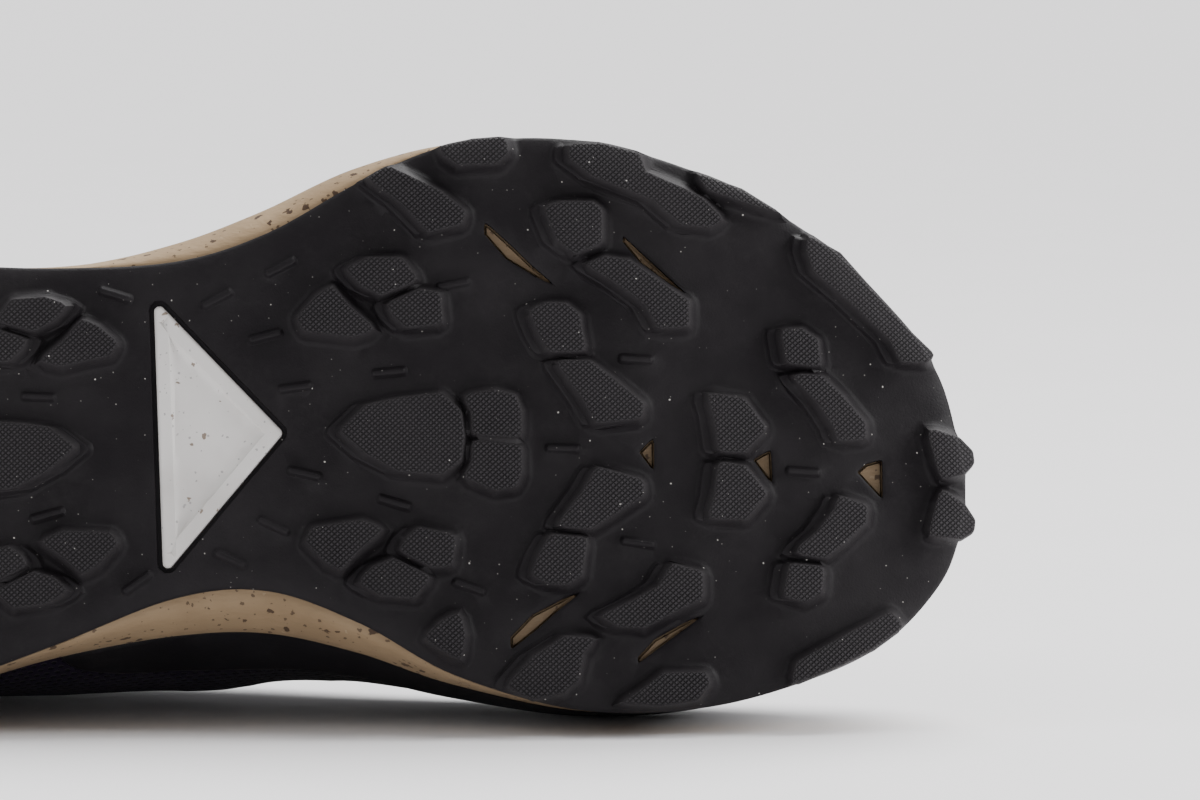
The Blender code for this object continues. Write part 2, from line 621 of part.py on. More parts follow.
def make_outsole(material):
    tread = Tread()
    plan, faces, _ = triangulate(tread.loops(), grid_spots(tread.outline, *TREAD_GRID))
    faces = whole(turned_up(faces, plan), tread.keep, plan)
    loops = chain(border(faces))
    points, low_place = [], {}
    for i in sorted({i for face in faces for i in face}):
        low_place[i] = len(points)
        points.append(tread.low(plan[i]))
    solid = [[low_place[i] for i in reversed(face)] for face in faces]

    top_loops = [[plan[i] for i in loop] for loop in loops]
    top_plan, top_faces, sources = triangulate(top_loops, grid_spots(tread.outline, *SEAT_GRID))
    wanted = [i for loop in loops for i in loop]
    top_place, bottom_of = {}, {}
    for index, from_points in enumerate(sources):
        top_place[index] = len(points)
        x, y = top_plan[index]
        points.append(Vector((x, y, seat(x))))
        for source in from_points:
            if source < len(wanted):
                bottom_of[wanted[source]] = top_place[index]
    top_faces = [face for face in turned_up(top_faces, top_plan) if area_of(face, top_plan) > SMALLEST_FACE]
    kept = whole(top_faces, tread.keep, top_plan)
    solid += [[top_place[i] for i in face] for face in kept]
    for loop in loops:
        for a, b in zip(loop, loop[1:] + loop[:1]):
            solid.append([low_place[a], low_place[b], bottom_of[b], bottom_of[a]])
    used = sorted({i for face in solid for i in face})
    place = {old: new for new, old in enumerate(used)}
    return add_object("outsole", [points[i] for i in used], [[place[i] for i in f] for f in solid], material)


def make_plate(material):
    loop = plate_loop(0.0)
    face = plate_loop(-PLATE_GROOVE)
    edge_low = PLATE_SINK + PLATE_GROOVE

    def low(point):
        sunk = PLATE_SINK if distance_to(point, face) < 0.00005 else edge_low
        return Vector((*point, ground(point[0]) + LUG_HEIGHT + sunk))

    def high(point):
        return Vector((*point, seat(point[0])))

    return slab("waist_plate", [loop, face], lambda p: inside(p, loop), [], low, high, material)


def make_midsole(material):
    ats = places(FOAM_STEPS)
    outline = [tuple(edge(at)) for at in ats]
    plan, faces, sources = triangulate([outline], grid_spots(outline, *SEAT_GRID))
    faces = turned_up([face for face in faces if inside(centre_of(face, plan), outline)], plan)
    points = [Vector((x, y, seat(x) + GAP)) for x, y in plan]
    solid = [face[::-1] for face in faces]
    ring = ring_of(sources, len(outline))

    rings = [ring]
    for level in LEVELS:
        loop = [foam_at(at, level.bulge, level.rim, level.step * STEP_DEPTH) for at in ats]
        rings.append(range(len(points), len(points) + len(loop)))
        points += [Vector((p.x, p.y, blend(seat(p.x) + GAP, rim(p.x), level.rise))) for p in loop]
    inner = [tuple(foam_at(at, 0, 1, RIM_WIDTH)) for at in ats]
    rings.append(range(len(points), len(points) + len(inner)))
    points += [Vector((x, y, rim(x))) for x, y in inner]

    bed, bed_faces, bed_sources = triangulate([inner], grid_spots(inner, *BED_GRID))
    first = len(points)
    points += [Vector((x, y, footbed(x))) for x, y in bed]
    bed_faces = turned_up([face for face in bed_faces if inside(centre_of(face, bed), inner)], bed)
    solid += [[i + first for i in face] for face in bed_faces]
    rings.append([i + first for i in ring_of(bed_sources, len(inner))])
    solid += bridge(rings)
    return add_object("midsole", points, solid, material)


def ring_of(sources, count):
    """Point numbers, in order, of the first count points that were given."""
    found = {}
    for index, from_points in enumerate(sources):
        for source in from_points:
            if source < count:
                found[source] = index
    return [found[i] for i in range(count)]


def bridge(rings):
    """Quads between one closed ring and the next."""
    faces = []
    for low, high in zip(rings, rings[1:]):
        count = len(low)
        for i in range(count):
            j = (i + 1) % count
            faces.append([low[i], low[j], high[j], high[i]])
    return faces


def make_insole(material):
    loop = [tuple(foam_at(at, 0, 1, RIM_WIDTH + GAP * 2)) for at in places(FOAM_STEPS)]

    def low(point):
        return Vector((*point, footbed(point[0]) + GAP))

    def high(point):
        return Vector((*point, footbed(point[0]) + GAP + INSOLE_THICKNESS))

    return slab("insole", [loop], lambda p: inside(p, loop), grid_spots(loop, *BED_GRID), low, high, material)


def opening_axis(x):
    share = min(max(x / THROAT_END, 0.0), 1.0)
    return blend(OPENING_AXIS[0], OPENING_AXIS[1], share) * BALL_WIDTH


def named_height(index):
    if index in HEEL_STATIONS:
        return HEEL_HEIGHT
    if index in ANKLE_STATIONS:
        return ANKLE_HEIGHT
    return VAMP_HEIGHT if index in VAMP_STATIONS else INSTEP_HEIGHT


def top_columns():
    """Where the top edge runs: x, y and z for each station all the way round."""
    xs, halves, zs = [], [], []
    for index, top in enumerate(TOPS):
        width = COLLAR_WIDTH if index in COLLAR_STATIONS else THROAT_WIDTH
        xs.append(top.along * THROAT_END)
        halves.append(top.half * width)
        zs.append(rim(xs[-1]) + top.height * named_height(index))
    ys_lateral = [opening_axis(x) - half for x, half in zip(xs, halves)]
    ys_medial = [opening_axis(x) + half for x, half in zip(xs, halves)]
    return round_the_shoe(xs, xs), round_the_shoe(ys_lateral, ys_medial), round_the_shoe(zs, zs)


TOP_X, TOP_Y, TOP_Z = top_columns()
PAD, SWELL, RISE, LEAN, DIP = [round_the_shoe([getattr(t, key) for t in TOPS], [getattr(t, key) for t in TOPS])
                               for key in ("pad", "swell", "rise", "lean", "dip")]
SWELL = round_the_shoe([t.swell for t in TOPS],
                       [t.swell + through(WAIST_SWELL, s.along) for t, s in zip(TOPS, STATIONS)])


def upper_point(at, share):
    """The upper's outer face: share runs from the foam's rim (0) to the top edge (1)."""
    foot = foam_at(at, 0, 1, BITE_INSET)
    start = Vector((foot.x, foot.y, rim(foot.x) + GAP))
    end = Vector((spline(TOP_X, at, True), spline(TOP_Y, at, True), spline(TOP_Z, at, True)))
    height = end.z - start.z
    out = outward(at)
    flat = Vector((start.x - end.x, start.y - end.y, 0))
    first = start + Vector((out.x, out.y, 0)) * spline(SWELL, at, True) * BALL_WIDTH
    first.z += spline(RISE, at, True) * height
    second = end + flat * spline(LEAN, at, True)
    second.z -= spline(DIP, at, True) * height
    rest = 1 - share
    return (start * rest ** 3 + first * 3 * rest ** 2 * share
            + second * 3 * rest * share ** 2 + end * share ** 3)


def upper_normal(at, share):
    """Outward normal of that face."""
    step = 0.02
    low, high = max(share - step, 0.0), min(share + step, 1.0)
    up = upper_point(at, high) - upper_point(at, low)
    along = upper_point(at + 0.1, share) - upper_point(at - 0.1, share)
    return along.cross(up).normalized()


def upper_wall(at, share):
    pad = spline(PAD, at, True) * smooth((share - PAD_EASE[0]) / PAD_EASE[1])
    return UPPER_WALL + COLLAR_PAD * pad


def make_upper(material):
    ats = places(UPPER_STEPS)
    points, rings = [], []

    def add_ring(ring):
        rings.append(range(len(points), len(points) + len(ring)))
        points.extend(ring)

    for share in UPPER_ROWS:
        add_ring([upper_point(at, share) for at in ats])
    rolled = []
    for at in ats:
        roll = COLLAR_ROLL * (0.4 + 0.6 * spline(PAD, at, True))
        normal = upper_normal(at, 1.0)
        rolled.append(upper_point(at, 1.0) - normal * upper_wall(at, 1.0) * 0.5 + Vector((0, 0, roll)))
    add_ring(rolled)
    for share in reversed(UPPER_ROWS):
        ring = []
        for at in ats:
            normal = upper_normal(at, share)
            point = upper_point(at, share)
            if share == 0.0:
                out = outward(at)
                ring.append(point - Vector((out.x, out.y, 0)) * UPPER_WALL)
                ring[-1].z = rim(ring[-1].x) + GAP
            else:
                ring.append(point - normal * upper_wall(at, share))
        add_ring(ring)
    return add_object("upper", points, bridge(rings + [rings[0]]), material, 50)


def flat_between_rows(at, share):
    """The upper's face as its rows cut it: straight from one row to the next."""
    for low, high in zip(UPPER_ROWS, UPPER_ROWS[1:]):
        if share <= high:
            return upper_point(at, low).lerp(upper_point(at, high), (share - low) / (high - low))
    return upper_point(at, share)


def overlay(name, rows, from_foot, material):
    """A band over the upper's own face, from its foot up to the rows' shares or from those to its top edge."""

    def low_share(at):
        return OVERLAY_FOOT if from_foot else through(rows, at)

    def high_share(at):
        return through(rows, at) if from_foot else OVERLAY_HEAD

    first, last = rows[0][0], rows[-1][0]
    turns = range(math.floor(first * UPPER_STEPS) + 1, math.ceil(last * UPPER_STEPS))
    ats = [first] + [i / UPPER_STEPS for i in turns] + [last]
    bottom = [(at * STATION_RUN, low_share(at) * WALL_RUN) for at in ats]
    top = [(at * STATION_RUN, high_share(at) * WALL_RUN) for at in ats]
    loop = bottom + top[::-1]
    spots = []
    for at in ats[1:-1]:
        count = int((high_share(at) - low_share(at)) * WALL_RUN / OVERLAY_ROW)
        for row in range(1, count + 1):
            share = blend(low_share(at), high_share(at), row / (count + 1))
            spots.append((at * STATION_RUN, share * WALL_RUN))

    def lifted(distance):
        def place(point):
            at, share = point[0] / STATION_RUN, point[1] / WALL_RUN
            normal = upper_normal(at, share)
            face = upper_point(at, share)
            proud = max(0.0, (flat_between_rows(at, share) - face).dot(normal))
            return face + normal * (proud + distance)
        return place

    return slab(name, [loop], lambda p: inside(p, loop), spots, lifted(OVERLAY_GAP),
                lifted(OVERLAY_GAP + OVERLAY_THICKNESS), material)


def under_upper(at, share, clearance=TONGUE_CLEARANCE):
    """A point that clears the upper's inner face."""
    return upper_point(at, share) - upper_normal(at, share) * (upper_wall(at, share) + clearance)


def tongue_sections():
    """Points across the tongue's outer face, from the flap at the top to the end under the vamp."""
    sections = []
    for at in TONGUE_STATIONS:
        lateral = [under_upper(at, share) for share in TONGUE_SIDES]
        medial = [under_upper(AROUND - at, share) for share in reversed(TONGUE_SIDES)]
        crown = TONGUE_CROWN * min(1.0, (TONGUE_STATIONS[-1] - at) / CROWN_RUN)
        middle = (lateral[-1] + medial[0]) / 2 + Vector((0, 0, crown))
        sections.append(lateral + [middle] + medial)
    sections.append([under_upper(at, share, TONGUE_END_CLEARANCE) for at, share in TONGUE_END])
    back = (sections[0][3] - sections[1][3]).normalized()
    rise = (back + Vector((0, 0, 0.5))).normalized() * TONGUE_RISE
    middle = sections[0][3]
    for share in (0.5, 1.0):
        squeeze = 1 - (1 - FLAP_NARROWING) * min(1.0, share * 2)
        flap = []
        for point in sections[-1 - len(TONGUE_STATIONS)]:
            part = point - middle
            flap.append(middle + Vector((part.x, part.y * squeeze, part.z * squeeze)) + rise * share)
        sections.insert(0, flap)
    return sections


def make_tongue(material):
    sections = tongue_sections()
    rows, columns = len(sections), len(sections[0])
    top, bottom = [], []
    for index, section in enumerate(sections):
        before = sections[max(index - 1, 0)][3]
        after = sections[min(index + 1, rows - 1)][3]
        run = (after - before).normalized()
        normal = Vector((-run.z, 0, run.x))
        for j, point in enumerate(section):
            taper = TONGUE_SIDE_TAPER if j in (0, columns - 1) else 1.0
            top.append(point)
            bottom.append(point - normal * TONGUE_THICKNESS * taper)
    count = len(top)
    faces = []
    for i in range(rows - 1):
        for j in range(columns - 1):
            a = i * columns + j
            quad = [a, a + columns, a + columns + 1, a + 1]
            faces.append(quad)
            faces.append([k + count for k in reversed(quad)])
    rim_line = ([j for j in range(columns)] + [i * columns + columns - 1 for i in range(1, rows)]
                + [(rows - 1) * columns + j for j in range(columns - 2, -1, -1)]
                + [i * columns for i in range(rows - 2, 0, -1)])
    for a, b in zip(rim_line, rim_line[1:] + rim_line[:1]):
        faces.append([a, b, b + count, a + count])
    return add_object("tongue", top + bottom, faces, material, 50)


def lace_seat(at, side):
    """Where the lace meets the eyestay beside the throat."""
    place = at if side < 0 else AROUND - at
    normal = upper_normal(place, LACE_SEAT)
    lift = OVERLAY_GAP + OVERLAY_THICKNESS + LACE_CLEARANCE
    return upper_point(place, LACE_SEAT) + normal * lift


def make_laces(material):
    """Crossings and the lowest bar as one flat ribbon net, laid over the tongue."""
    seats = [(lace_seat(at, -1), lace_seat(at, 1)) for at in LACE_STATIONS]
    top, end = seats[0], seats[-1]
    origin = (top[0] + top[1]) / 2
    run = (end[0] + end[1]) / 2 - origin
    reach = run.length
    run.normalize()
    normal = Vector((-run.z, 0, run.x)).normalized()

    def to_plan(point):
        part = point - origin
        return Vector((part.dot(run), part.y))

    pairs = [tuple(to_plan(p) for p in seat_pair) for seat_pair in seats]
    bars = [pairs[-1]]
    for upper_pair, lower_pair in zip(pairs, pairs[1:]):
        bars.append((upper_pair[0], lower_pair[1]))
        bars.append((upper_pair[1], lower_pair[0]))
    strips = []
    for start, stop in bars:
        along = (stop - start).normalized()
        side = Vector((-along.y, along.x)) * LACE_WIDTH / 2
        a, b = start - along * LACE_WIDTH * 0.1, stop + along * LACE_WIDTH * 0.1
        strips.append([tuple(a - side), tuple(b - side), tuple(b + side), tuple(a + side)])
    spots = [(s * reach, 0.0) for s in (0.0, 0.25, 0.5, 0.75, 1.0)]
    for start, stop in bars:
        for share in (0.2, 0.35, 0.5, 0.65, 0.8):
            spots.append(tuple(start.lerp(stop, share)))

    heights = [(to_plan(a).x, (a - origin).dot(normal), to_plan(b).y - to_plan(a).y) for a, b in seats]

    def base(point):
        rows = [(row[0], row[1]) for row in heights]
        widths = [(row[0], row[2]) for row in heights]
        level = through(rows, point[0])
        half = through(widths, point[0]) / 2
        share = min(1.0, abs(point[1]) / half)
        return level + LACE_CROWN * (1 - share ** 2)

    def lifted(extra):
        def place(point):
            return origin + run * point[0] + Vector((0, point[1], 0)) + normal * (base(point) + extra)
        return place

    return slab("laces", strips, lambda p: any(inside(p, strip) for strip in strips), spots,
                lifted(0.0), lifted(LACE_THICKNESS), material)


def centre_of_mass(pieces):
    """Centre of the pieces' volumes, weighted by how dense each one is."""
    mass, moment = 0.0, Vector((0, 0, 0))
    for piece in pieces:
        density = DENSITY.get(piece.name, 0.9)
        piece.data.calc_loop_triangles()
        for triangle in piece.data.loop_triangles:
            a, b, c = [piece.data.vertices[i].co for i in triangle.vertices]
            part = density * a.dot(b.cross(c)) / 6
            mass += part
            moment += part * (a + b + c) / 4
    return moment / mass


def resting_face(points, centre):
    """Outward normal of the convex hull's facet that the shoe lies on, with its medial side (+y) down."""
    hull = bmesh.new()
    for point in points:
        hull.verts.new(point)
    bmesh.ops.convex_hull(hull, input=hull.verts)
    normal = Vector((0, 1, 0))
    for face in hull.faces:
        facing = face.normal if face.normal.dot(face.calc_center_median() - centre) > 0 else -face.normal
        if facing.y < 0.8:
            continue
        corners = [v.co for v in face.verts]
        under = centre + facing * (corners[0] - centre).dot(facing)
        turns = [(b - a).cross(under - a).dot(face.normal) for a, b in zip(corners, corners[1:] + corners[:1])]
        if min(turns) >= 0 or max(turns) <= 0:
            normal = facing.copy()
    hull.free()
    return normal


def lay_on_side(pieces):
    """Turns the shoe about its length until the sole's edge and the upper's side both lie on the floor."""
    points = [v.co.copy() for piece in pieces for v in piece.data.vertices]
    normal = resting_face(points, centre_of_mass(pieces))
    toe = Vector((1, 0, 0))
    toe = (toe - normal * toe.dot(normal)).normalized()
    away = (-normal).cross(toe)
    turn = Matrix((toe, away, -normal)).to_4x4()
    moved = [turn @ p for p in points]
    low = [min(p[i] for p in moved) for i in range(3)]
    high = [max(p[i] for p in moved) for i in range(3)]
    shift = Vector((-(low[0] + high[0]) / 2, -(low[1] + high[1]) / 2, -low[2]))
    shoe = bpy.data.objects.new("shoe", None)
    bpy.context.scene.collection.objects.link(shoe)
    for piece in pieces:
        piece.parent = shoe
    shoe.matrix_world = Matrix.Translation(shift) @ turn


def main():
    for old in list(bpy.data.objects):
        bpy.data.objects.remove(old)
    rubber = make_material("rubber", (0.022, 0.019, 0.022), 0.62)
    plate = make_material("plate", (0.66, 0.64, 0.62), 0.45)
    foam = make_material("foam", (0.46, 0.34, 0.21), 0.8)
    lining = make_material("lining", (0.012, 0.010, 0.014), 0.9)
    mesh_cloth = make_material("mesh_cloth", (0.016, 0.009, 0.026), 0.85)
    film = make_material("film", (0.010, 0.009, 0.011), 0.5)
    lace = make_material("lace", (0.014, 0.012, 0.016), 0.9)
    pieces = [
        make_outsole(rubber),
        make_plate(plate),
        make_midsole(foam),
        make_insole(lining),
        make_upper(mesh_cloth),
        make_tongue(mesh_cloth),
        overlay("toe_cap", TOE_CAP, True, film),
        overlay("heel_counter", HEEL_COUNTER, True, film),
        overlay("eyestay", EYESTAY, False, film),
        make_laces(lace),
    ]
    lay_on_side(pieces)


main()
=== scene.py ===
# Trail running shoe on its side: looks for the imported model.
# The shoe is made standing first (x heel to toe, y to the medial side, z up). Every point is then laid down.

import math

import bpy
import numpy as np
from mathutils import Matrix, Vector, noise
from mathutils.geometry import delaunay_2d_cdt


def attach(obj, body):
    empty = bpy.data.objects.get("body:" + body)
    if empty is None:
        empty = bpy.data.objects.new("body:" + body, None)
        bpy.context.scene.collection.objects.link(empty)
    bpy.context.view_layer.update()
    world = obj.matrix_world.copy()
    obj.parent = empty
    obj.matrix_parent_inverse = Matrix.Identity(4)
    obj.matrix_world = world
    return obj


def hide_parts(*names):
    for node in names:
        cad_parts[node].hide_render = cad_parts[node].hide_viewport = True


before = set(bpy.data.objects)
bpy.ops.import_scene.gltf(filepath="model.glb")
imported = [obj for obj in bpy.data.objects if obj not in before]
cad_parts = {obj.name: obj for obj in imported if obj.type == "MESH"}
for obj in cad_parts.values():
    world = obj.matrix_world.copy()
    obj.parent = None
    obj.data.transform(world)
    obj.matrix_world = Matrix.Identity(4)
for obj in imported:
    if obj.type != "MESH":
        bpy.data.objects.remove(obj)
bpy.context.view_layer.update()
print("frame loaded:", len(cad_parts), "nodes")

# sizes that the pieces share, in metres
shoe = {
    "length": 0.300, "ballWidth": 0.112, "waistWidth": 0.064, "heelWidth": 0.088,
    "toeSpring": 0.018, "heelRise": 0.005, "lugHeight": 0.0038, "sheet": 0.0024,
    "heelFoam": 0.029, "ballFoam": 0.020, "toeFoam": 0.013, "flare": 0.007,
    "rimWidth": 0.0072, "footbedDepth": 0.005, "gap": 0.0003,
}
# how the standing shoe lies: where its medial side faces, and its shift on the floor
layDown = Vector((-0.009677532, 0.9829458, 0.183640033))
layShift = Vector((-0.149130866, -0.053827651, 0.059325282))

# outline from heel tip to toe tip: along, lateral edge, medial edge (shares of the width there),
# foam bulge lateral and medial, foam rim lateral and medial (shares of the flare)
outlineRows = [
    (0.000, 0.136, 0.136, 0.30, 0.30, -0.45, -0.45),
    (0.012, -0.136, 0.364, 0.30, 0.30, -0.50, -0.50),
    (0.050, -0.295, 0.565, 0.25, -0.40, -0.62, -1.00),
    (0.120, -0.364, 0.668, 0.20, -0.45, -0.70, -1.22),
    (0.220, -0.370, 0.664, 0.20, -0.45, -0.65, -1.16),
    (0.320, -0.384, 0.612, 0.05, -0.10, -0.40, -0.58),
    (0.400, -0.428, 0.590, 0.18, 0.20, 0.00, -0.10),
    (0.480, -0.497, 0.522, 0.72, 0.92, 0.42, 0.60),
    (0.540, -0.543, 0.470, 0.86, 1.05, 0.55, 0.70),
    (0.600, -0.5375, 0.443, 0.62, 0.70, 0.30, 0.40),
    (0.660, -0.509, 0.458, 0.20, 0.20, 0.00, 0.00),
    (0.740, -0.4955, 0.499, 0.02, -0.08, -0.18, -0.20),
    (0.820, -0.440, 0.4955, 0.00, -0.12, -0.28, -0.28),
    (0.890, -0.341, 0.4455, 0.00, -0.12, -0.38, -0.35),
    (0.940, -0.221, 0.379, 0.00, -0.12, -0.42, -0.40),
    (0.975, -0.102, 0.281, -0.02, -0.10, -0.42, -0.42),
    (0.989, 0.020, 0.196, -0.04, -0.08, -0.42, -0.42),
    (0.994, 0.107, 0.107, -0.05, -0.05, -0.42, -0.42),
]
lastStation = len(outlineRows) - 1
around = 2 * lastStation


def blend(a, b, share):
    return a + (b - a) * share


def smooth(share):
    share = min(max(share, 0.0), 1.0)
    return share * share * (3 - 2 * share)


def spline(values, at):  # round a closed row of evenly spaced values
    count = len(values)
    first = math.floor(at)
    share = at - first
    p0, p1, p2, p3 = [values[(first + step) % count] for step in (-1, 0, 1, 2)]
    return 0.5 * (2 * p1 + (p2 - p0) * share + (2 * p0 - 5 * p1 + 4 * p2 - p3) * share ** 2
                  + (3 * p1 - p0 - 3 * p2 + p3) * share ** 3)


def unit(vectors):
    return vectors / np.linalg.norm(vectors, axis=-1, keepdims=True)


def runLengths(points):  # length along a line up to each of its points
    return np.concatenate([[0], np.cumsum(np.linalg.norm(np.diff(points, axis=0), axis=1))])


def addObject(name, data):
    made = bpy.data.objects.new(name, data)
    bpy.context.scene.collection.objects.link(made)
    return made


def through(rows, at):  # value between rows of (place, value)
    return float(np.interp(at, [row[0] for row in rows], [row[1] for row in rows]))


def widthAt(along):
    if along < 0.5:
        return blend(shoe["heelWidth"], shoe["waistWidth"], smooth((along - 0.25) / 0.25))
    return blend(shoe["waistWidth"], shoe["ballWidth"], smooth((along - 0.5) / 0.2))


def groundAt(x):
    along = x / shoe["length"]
    toe = max(0.0, (along - 0.60) / 0.40) ** 2.2
    heel = max(0.0, (0.13 - along) / 0.13) ** 2
    return shoe["toeSpring"] * toe + shoe["heelRise"] * heel


def seatAt(x):  # where rubber meets foam
    return groundAt(x) + shoe["lugHeight"] + shoe["sheet"]


def rimAt(x):  # top edge of the foam
    along = x / shoe["length"]
    foam = blend(shoe["heelFoam"], shoe["ballFoam"], smooth((along - 0.22) / 0.5))
    foam = blend(foam, shoe["toeFoam"], smooth((along - 0.72) / 0.28))
    return seatAt(x) + foam


def bothSides(lateral, medial):
    return list(lateral) + list(medial)[-2:0:-1]


edgeX = bothSides([r[0] * shoe["length"] for r in outlineRows], [r[0] * shoe["length"] for r in outlineRows])
edgeY = bothSides([r[1] * widthAt(r[0]) for r in outlineRows], [r[2] * widthAt(r[0]) for r in outlineRows])
edgeY[0] = 0.107 * shoe["ballWidth"]
edgeY[lastStation] = outlineRows[-1][1] * shoe["ballWidth"]
bulgeRow = bothSides([r[3] for r in outlineRows], [r[4] for r in outlineRows])
rimRow = bothSides([r[5] for r in outlineRows], [r[6] for r in outlineRows])


def edgeAt(at):
    return Vector((spline(edgeX, at), spline(edgeY, at)))


def outwardAt(at):
    run = edgeAt(at + 0.02) - edgeAt(at - 0.02)
    return Vector((run.y, -run.x)).normalized()


def offsetEdge(at, distance):
    return edgeAt(at) + outwardAt(at) * distance


def foamEdge(at, bulge, rimShare, inset):
    out = bulge * spline(bulgeRow, at) + rimShare * spline(rimRow, at)
    return offsetEdge(at, shoe["flare"] * out - inset)


def stationPlaces(steps):
    return [index / steps for index in range(around * steps)]


# the laying down of the shoe
toeWay = Vector((1, 0, 0))
toeWay = (toeWay - layDown * toeWay.dot(layDown)).normalized()
layTurn = Matrix((toeWay, (-layDown).cross(toeWay), -layDown))
layMatrix = Matrix.Translation(layShift) @ layTurn.to_4x4()


def laid(points):
    return [layMatrix @ Vector(p) for p in points]


# loops in plan: offsets, rounding and distances
def growLoop(loop, distance):
    area = sum(p[0] * q[1] - q[0] * p[1] for p, q in zip(loop, loop[1:] + loop[:1]))
    turn = 1 if area > 0 else -1
    grown = []
    for before, here, after in zip(loop[-1:] + loop[:-1], loop, loop[1:] + loop[:1]):
        first = (Vector(here) - Vector(before)).normalized()
        second = (Vector(after) - Vector(here)).normalized()
        normal = Vector((first.y + second.y, -first.x - second.x)).normalized() * turn
        half = max(0.5, normal.dot(Vector((first.y, -first.x)) * turn))
        grown.append(tuple(Vector(here) + normal * (distance / half)))
    return grown


def roundLoop(loop, radius, steps=3):  # corners become arcs, smaller where an edge is short
    corners = [Vector(p) for p in loop]
    rounded = []
    for before, here, after in zip(corners[-1:] + corners[:-1], corners, corners[1:] + corners[:1]):
        toBefore, toAfter = before - here, after - here
        half = max(0.2, toBefore.angle(toAfter) / 2)
        reach = min(radius / math.tan(half), 0.42 * toBefore.length, 0.42 * toAfter.length)
        start = here + toBefore.normalized() * reach
        end = here + toAfter.normalized() * reach
        for step in range(steps + 1):
            share = step / steps
            rest = 1 - share
            rounded.append(tuple(start * rest ** 2 + here * 2 * rest * share + end * share ** 2))
    return rounded


def insideMany(points, loop):
    x, y = points[:, 0], points[:, 1]
    hit = np.zeros(len(points), bool)
    for (x0, y0), (x1, y1) in zip(loop, loop[1:] + loop[:1]):
        if y0 != y1:
            hit ^= ((y0 > y) != (y1 > y)) & (x < x0 + (y - y0) * (x1 - x0) / (y1 - y0))
    return hit


def distanceMany(points, loop):  # negative inside
    best = np.full(len(points), 1.0)
    for (x0, y0), (x1, y1) in zip(loop, loop[1:] + loop[:1]):
        dx, dy = x1 - x0, y1 - y0
        length = dx * dx + dy * dy
        if length == 0:
            continue
        share = np.clip(((points[:, 0] - x0) * dx + (points[:, 1] - y0) * dy) / length, 0, 1)
        best = np.minimum(best, np.hypot(points[:, 0] - x0 - share * dx, points[:, 1] - y0 - share * dy))
    return np.where(insideMany(points, loop), -best, best)


def planMesh(loops, spots, keepMask):  # triangles of a plan in millimetres, wound anticlockwise
    points, lines = [], []
    for loop in loops:
        first = len(points)
        points += [Vector((p[0], p[1])) * 1000 for p in loop]
        lines += [(first + i, first + (i + 1) % len(loop)) for i in range(len(loop))]
    points += [Vector((p[0], p[1])) * 1000 for p in spots]
    found = delaunay_2d_cdt(points, lines, [], 0, 1e-4)
    plan = np.array([(p.x, p.y) for p in found[0]]) / 1000
    faces = np.array([list(face) for face in found[2] if len(face) == 3])
    a, b, c = plan[faces[:, 0]], plan[faces[:, 1]], plan[faces[:, 2]]
    area = (b[:, 0] - a[:, 0]) * (c[:, 1] - a[:, 1]) - (c[:, 0] - a[:, 0]) * (b[:, 1] - a[:, 1])
    faces[area < 0] = faces[area < 0][:, ::-1]
    faces = faces[keepMask((a + b + c) / 3) & (np.abs(area) > 1e-12)]
    used, faces = np.unique(faces, return_inverse=True)
    return plan[used], faces.reshape(-1, 3)


def addPiece(name, points, faces, materials, uv=None, marks=None, sharp=40, faceSlots=None, wrap=0.0):
    mesh = bpy.data.meshes.new(name)
    mesh.from_pydata([tuple(p) for p in points], [], [tuple(int(i) for i in face) for face in faces])
    for material in materials:
        mesh.materials.append(material)
    if faceSlots is not None:
        mesh.polygons.foreach_set("material_index", faceSlots)
    if uv is not None:
        layer = mesh.uv_layers.new(name="plan")
        corners = np.zeros(len(mesh.loops), int)
        mesh.loops.foreach_get("vertex_index", corners)
        spots = np.array(uv, float)[corners]
        if wrap:  # a ring's last faces run on past its start
            owner = np.repeat(np.arange(len(faces)), [len(face) for face in faces])
            furthest = np.zeros(len(faces))
            np.maximum.at(furthest, owner, spots[:, 0])
            spots[furthest[owner] - spots[:, 0] > wrap / 2, 0] += wrap
        layer.data.foreach_set("uv", spots.ravel())
    for label, values in (marks or {}).items():
        attribute = mesh.attributes.new(label, "FLOAT", "POINT")
        attribute.data.foreach_set("value", np.array(values, float))
    mesh.shade_smooth()
    mesh.set_sharp_from_angle(angle=math.radians(sharp))
    piece = addObject(name, mesh)
    return piece


def planSolid(name, plan, faces, lowHeights, highHeights, material, marks=None, sharp=40):
    count = len(plan)
    low = [(x, y, z) for (x, y), z in zip(plan, lowHeights)]
    high = [(x, y, z) for (x, y), z in zip(plan, highHeights)]
    solid = [face[::-1] for face in faces] + [face + count for face in faces]
    edges = set()
    for face in faces:
        edges.update(((face[0], face[1]), (face[1], face[2]), (face[2], face[0])))
    for a, b in edges:
        if (b, a) not in edges:
            solid.append((a, b, b + count, a + count))
    doubled = {label: np.concatenate([values, np.zeros(count)]) for label, values in (marks or {}).items()}
    return addPiece(name, laid(low + high), solid, [material], np.vstack([plan, plan]), doubled, sharp)


def ringsPiece(name, rings, materials, uvRows, marks, sharp, slotRows, wrap):
    count = len(rings[0])
    points = [p for ring in rings for p in ring]
    faces, slots = [], []
    for low in range(len(rings)):
        high = (low + 1) % len(rings)
        for i in range(count):
            j = (i + 1) % count
            faces.append((low * count + i, low * count + j, high * count + j, high * count + i))
            slots.append(slotRows[low])
    uv = [p for row in uvRows for p in row]
    return addPiece(name, laid(points), faces, materials, uv, marks, sharp, slots, wrap)


# shader helpers and the groups that materials share
def addNode(tree, kind, inputs=None, **settings):
    node = tree.nodes.new(kind)
    for key, value in settings.items():
        setattr(node, key, value)
    for key, value in (inputs or {}).items():
        if isinstance(value, bpy.types.NodeSocket):
            tree.links.new(value, node.inputs[key])
        else:
            node.inputs[key].default_value = value
    return node


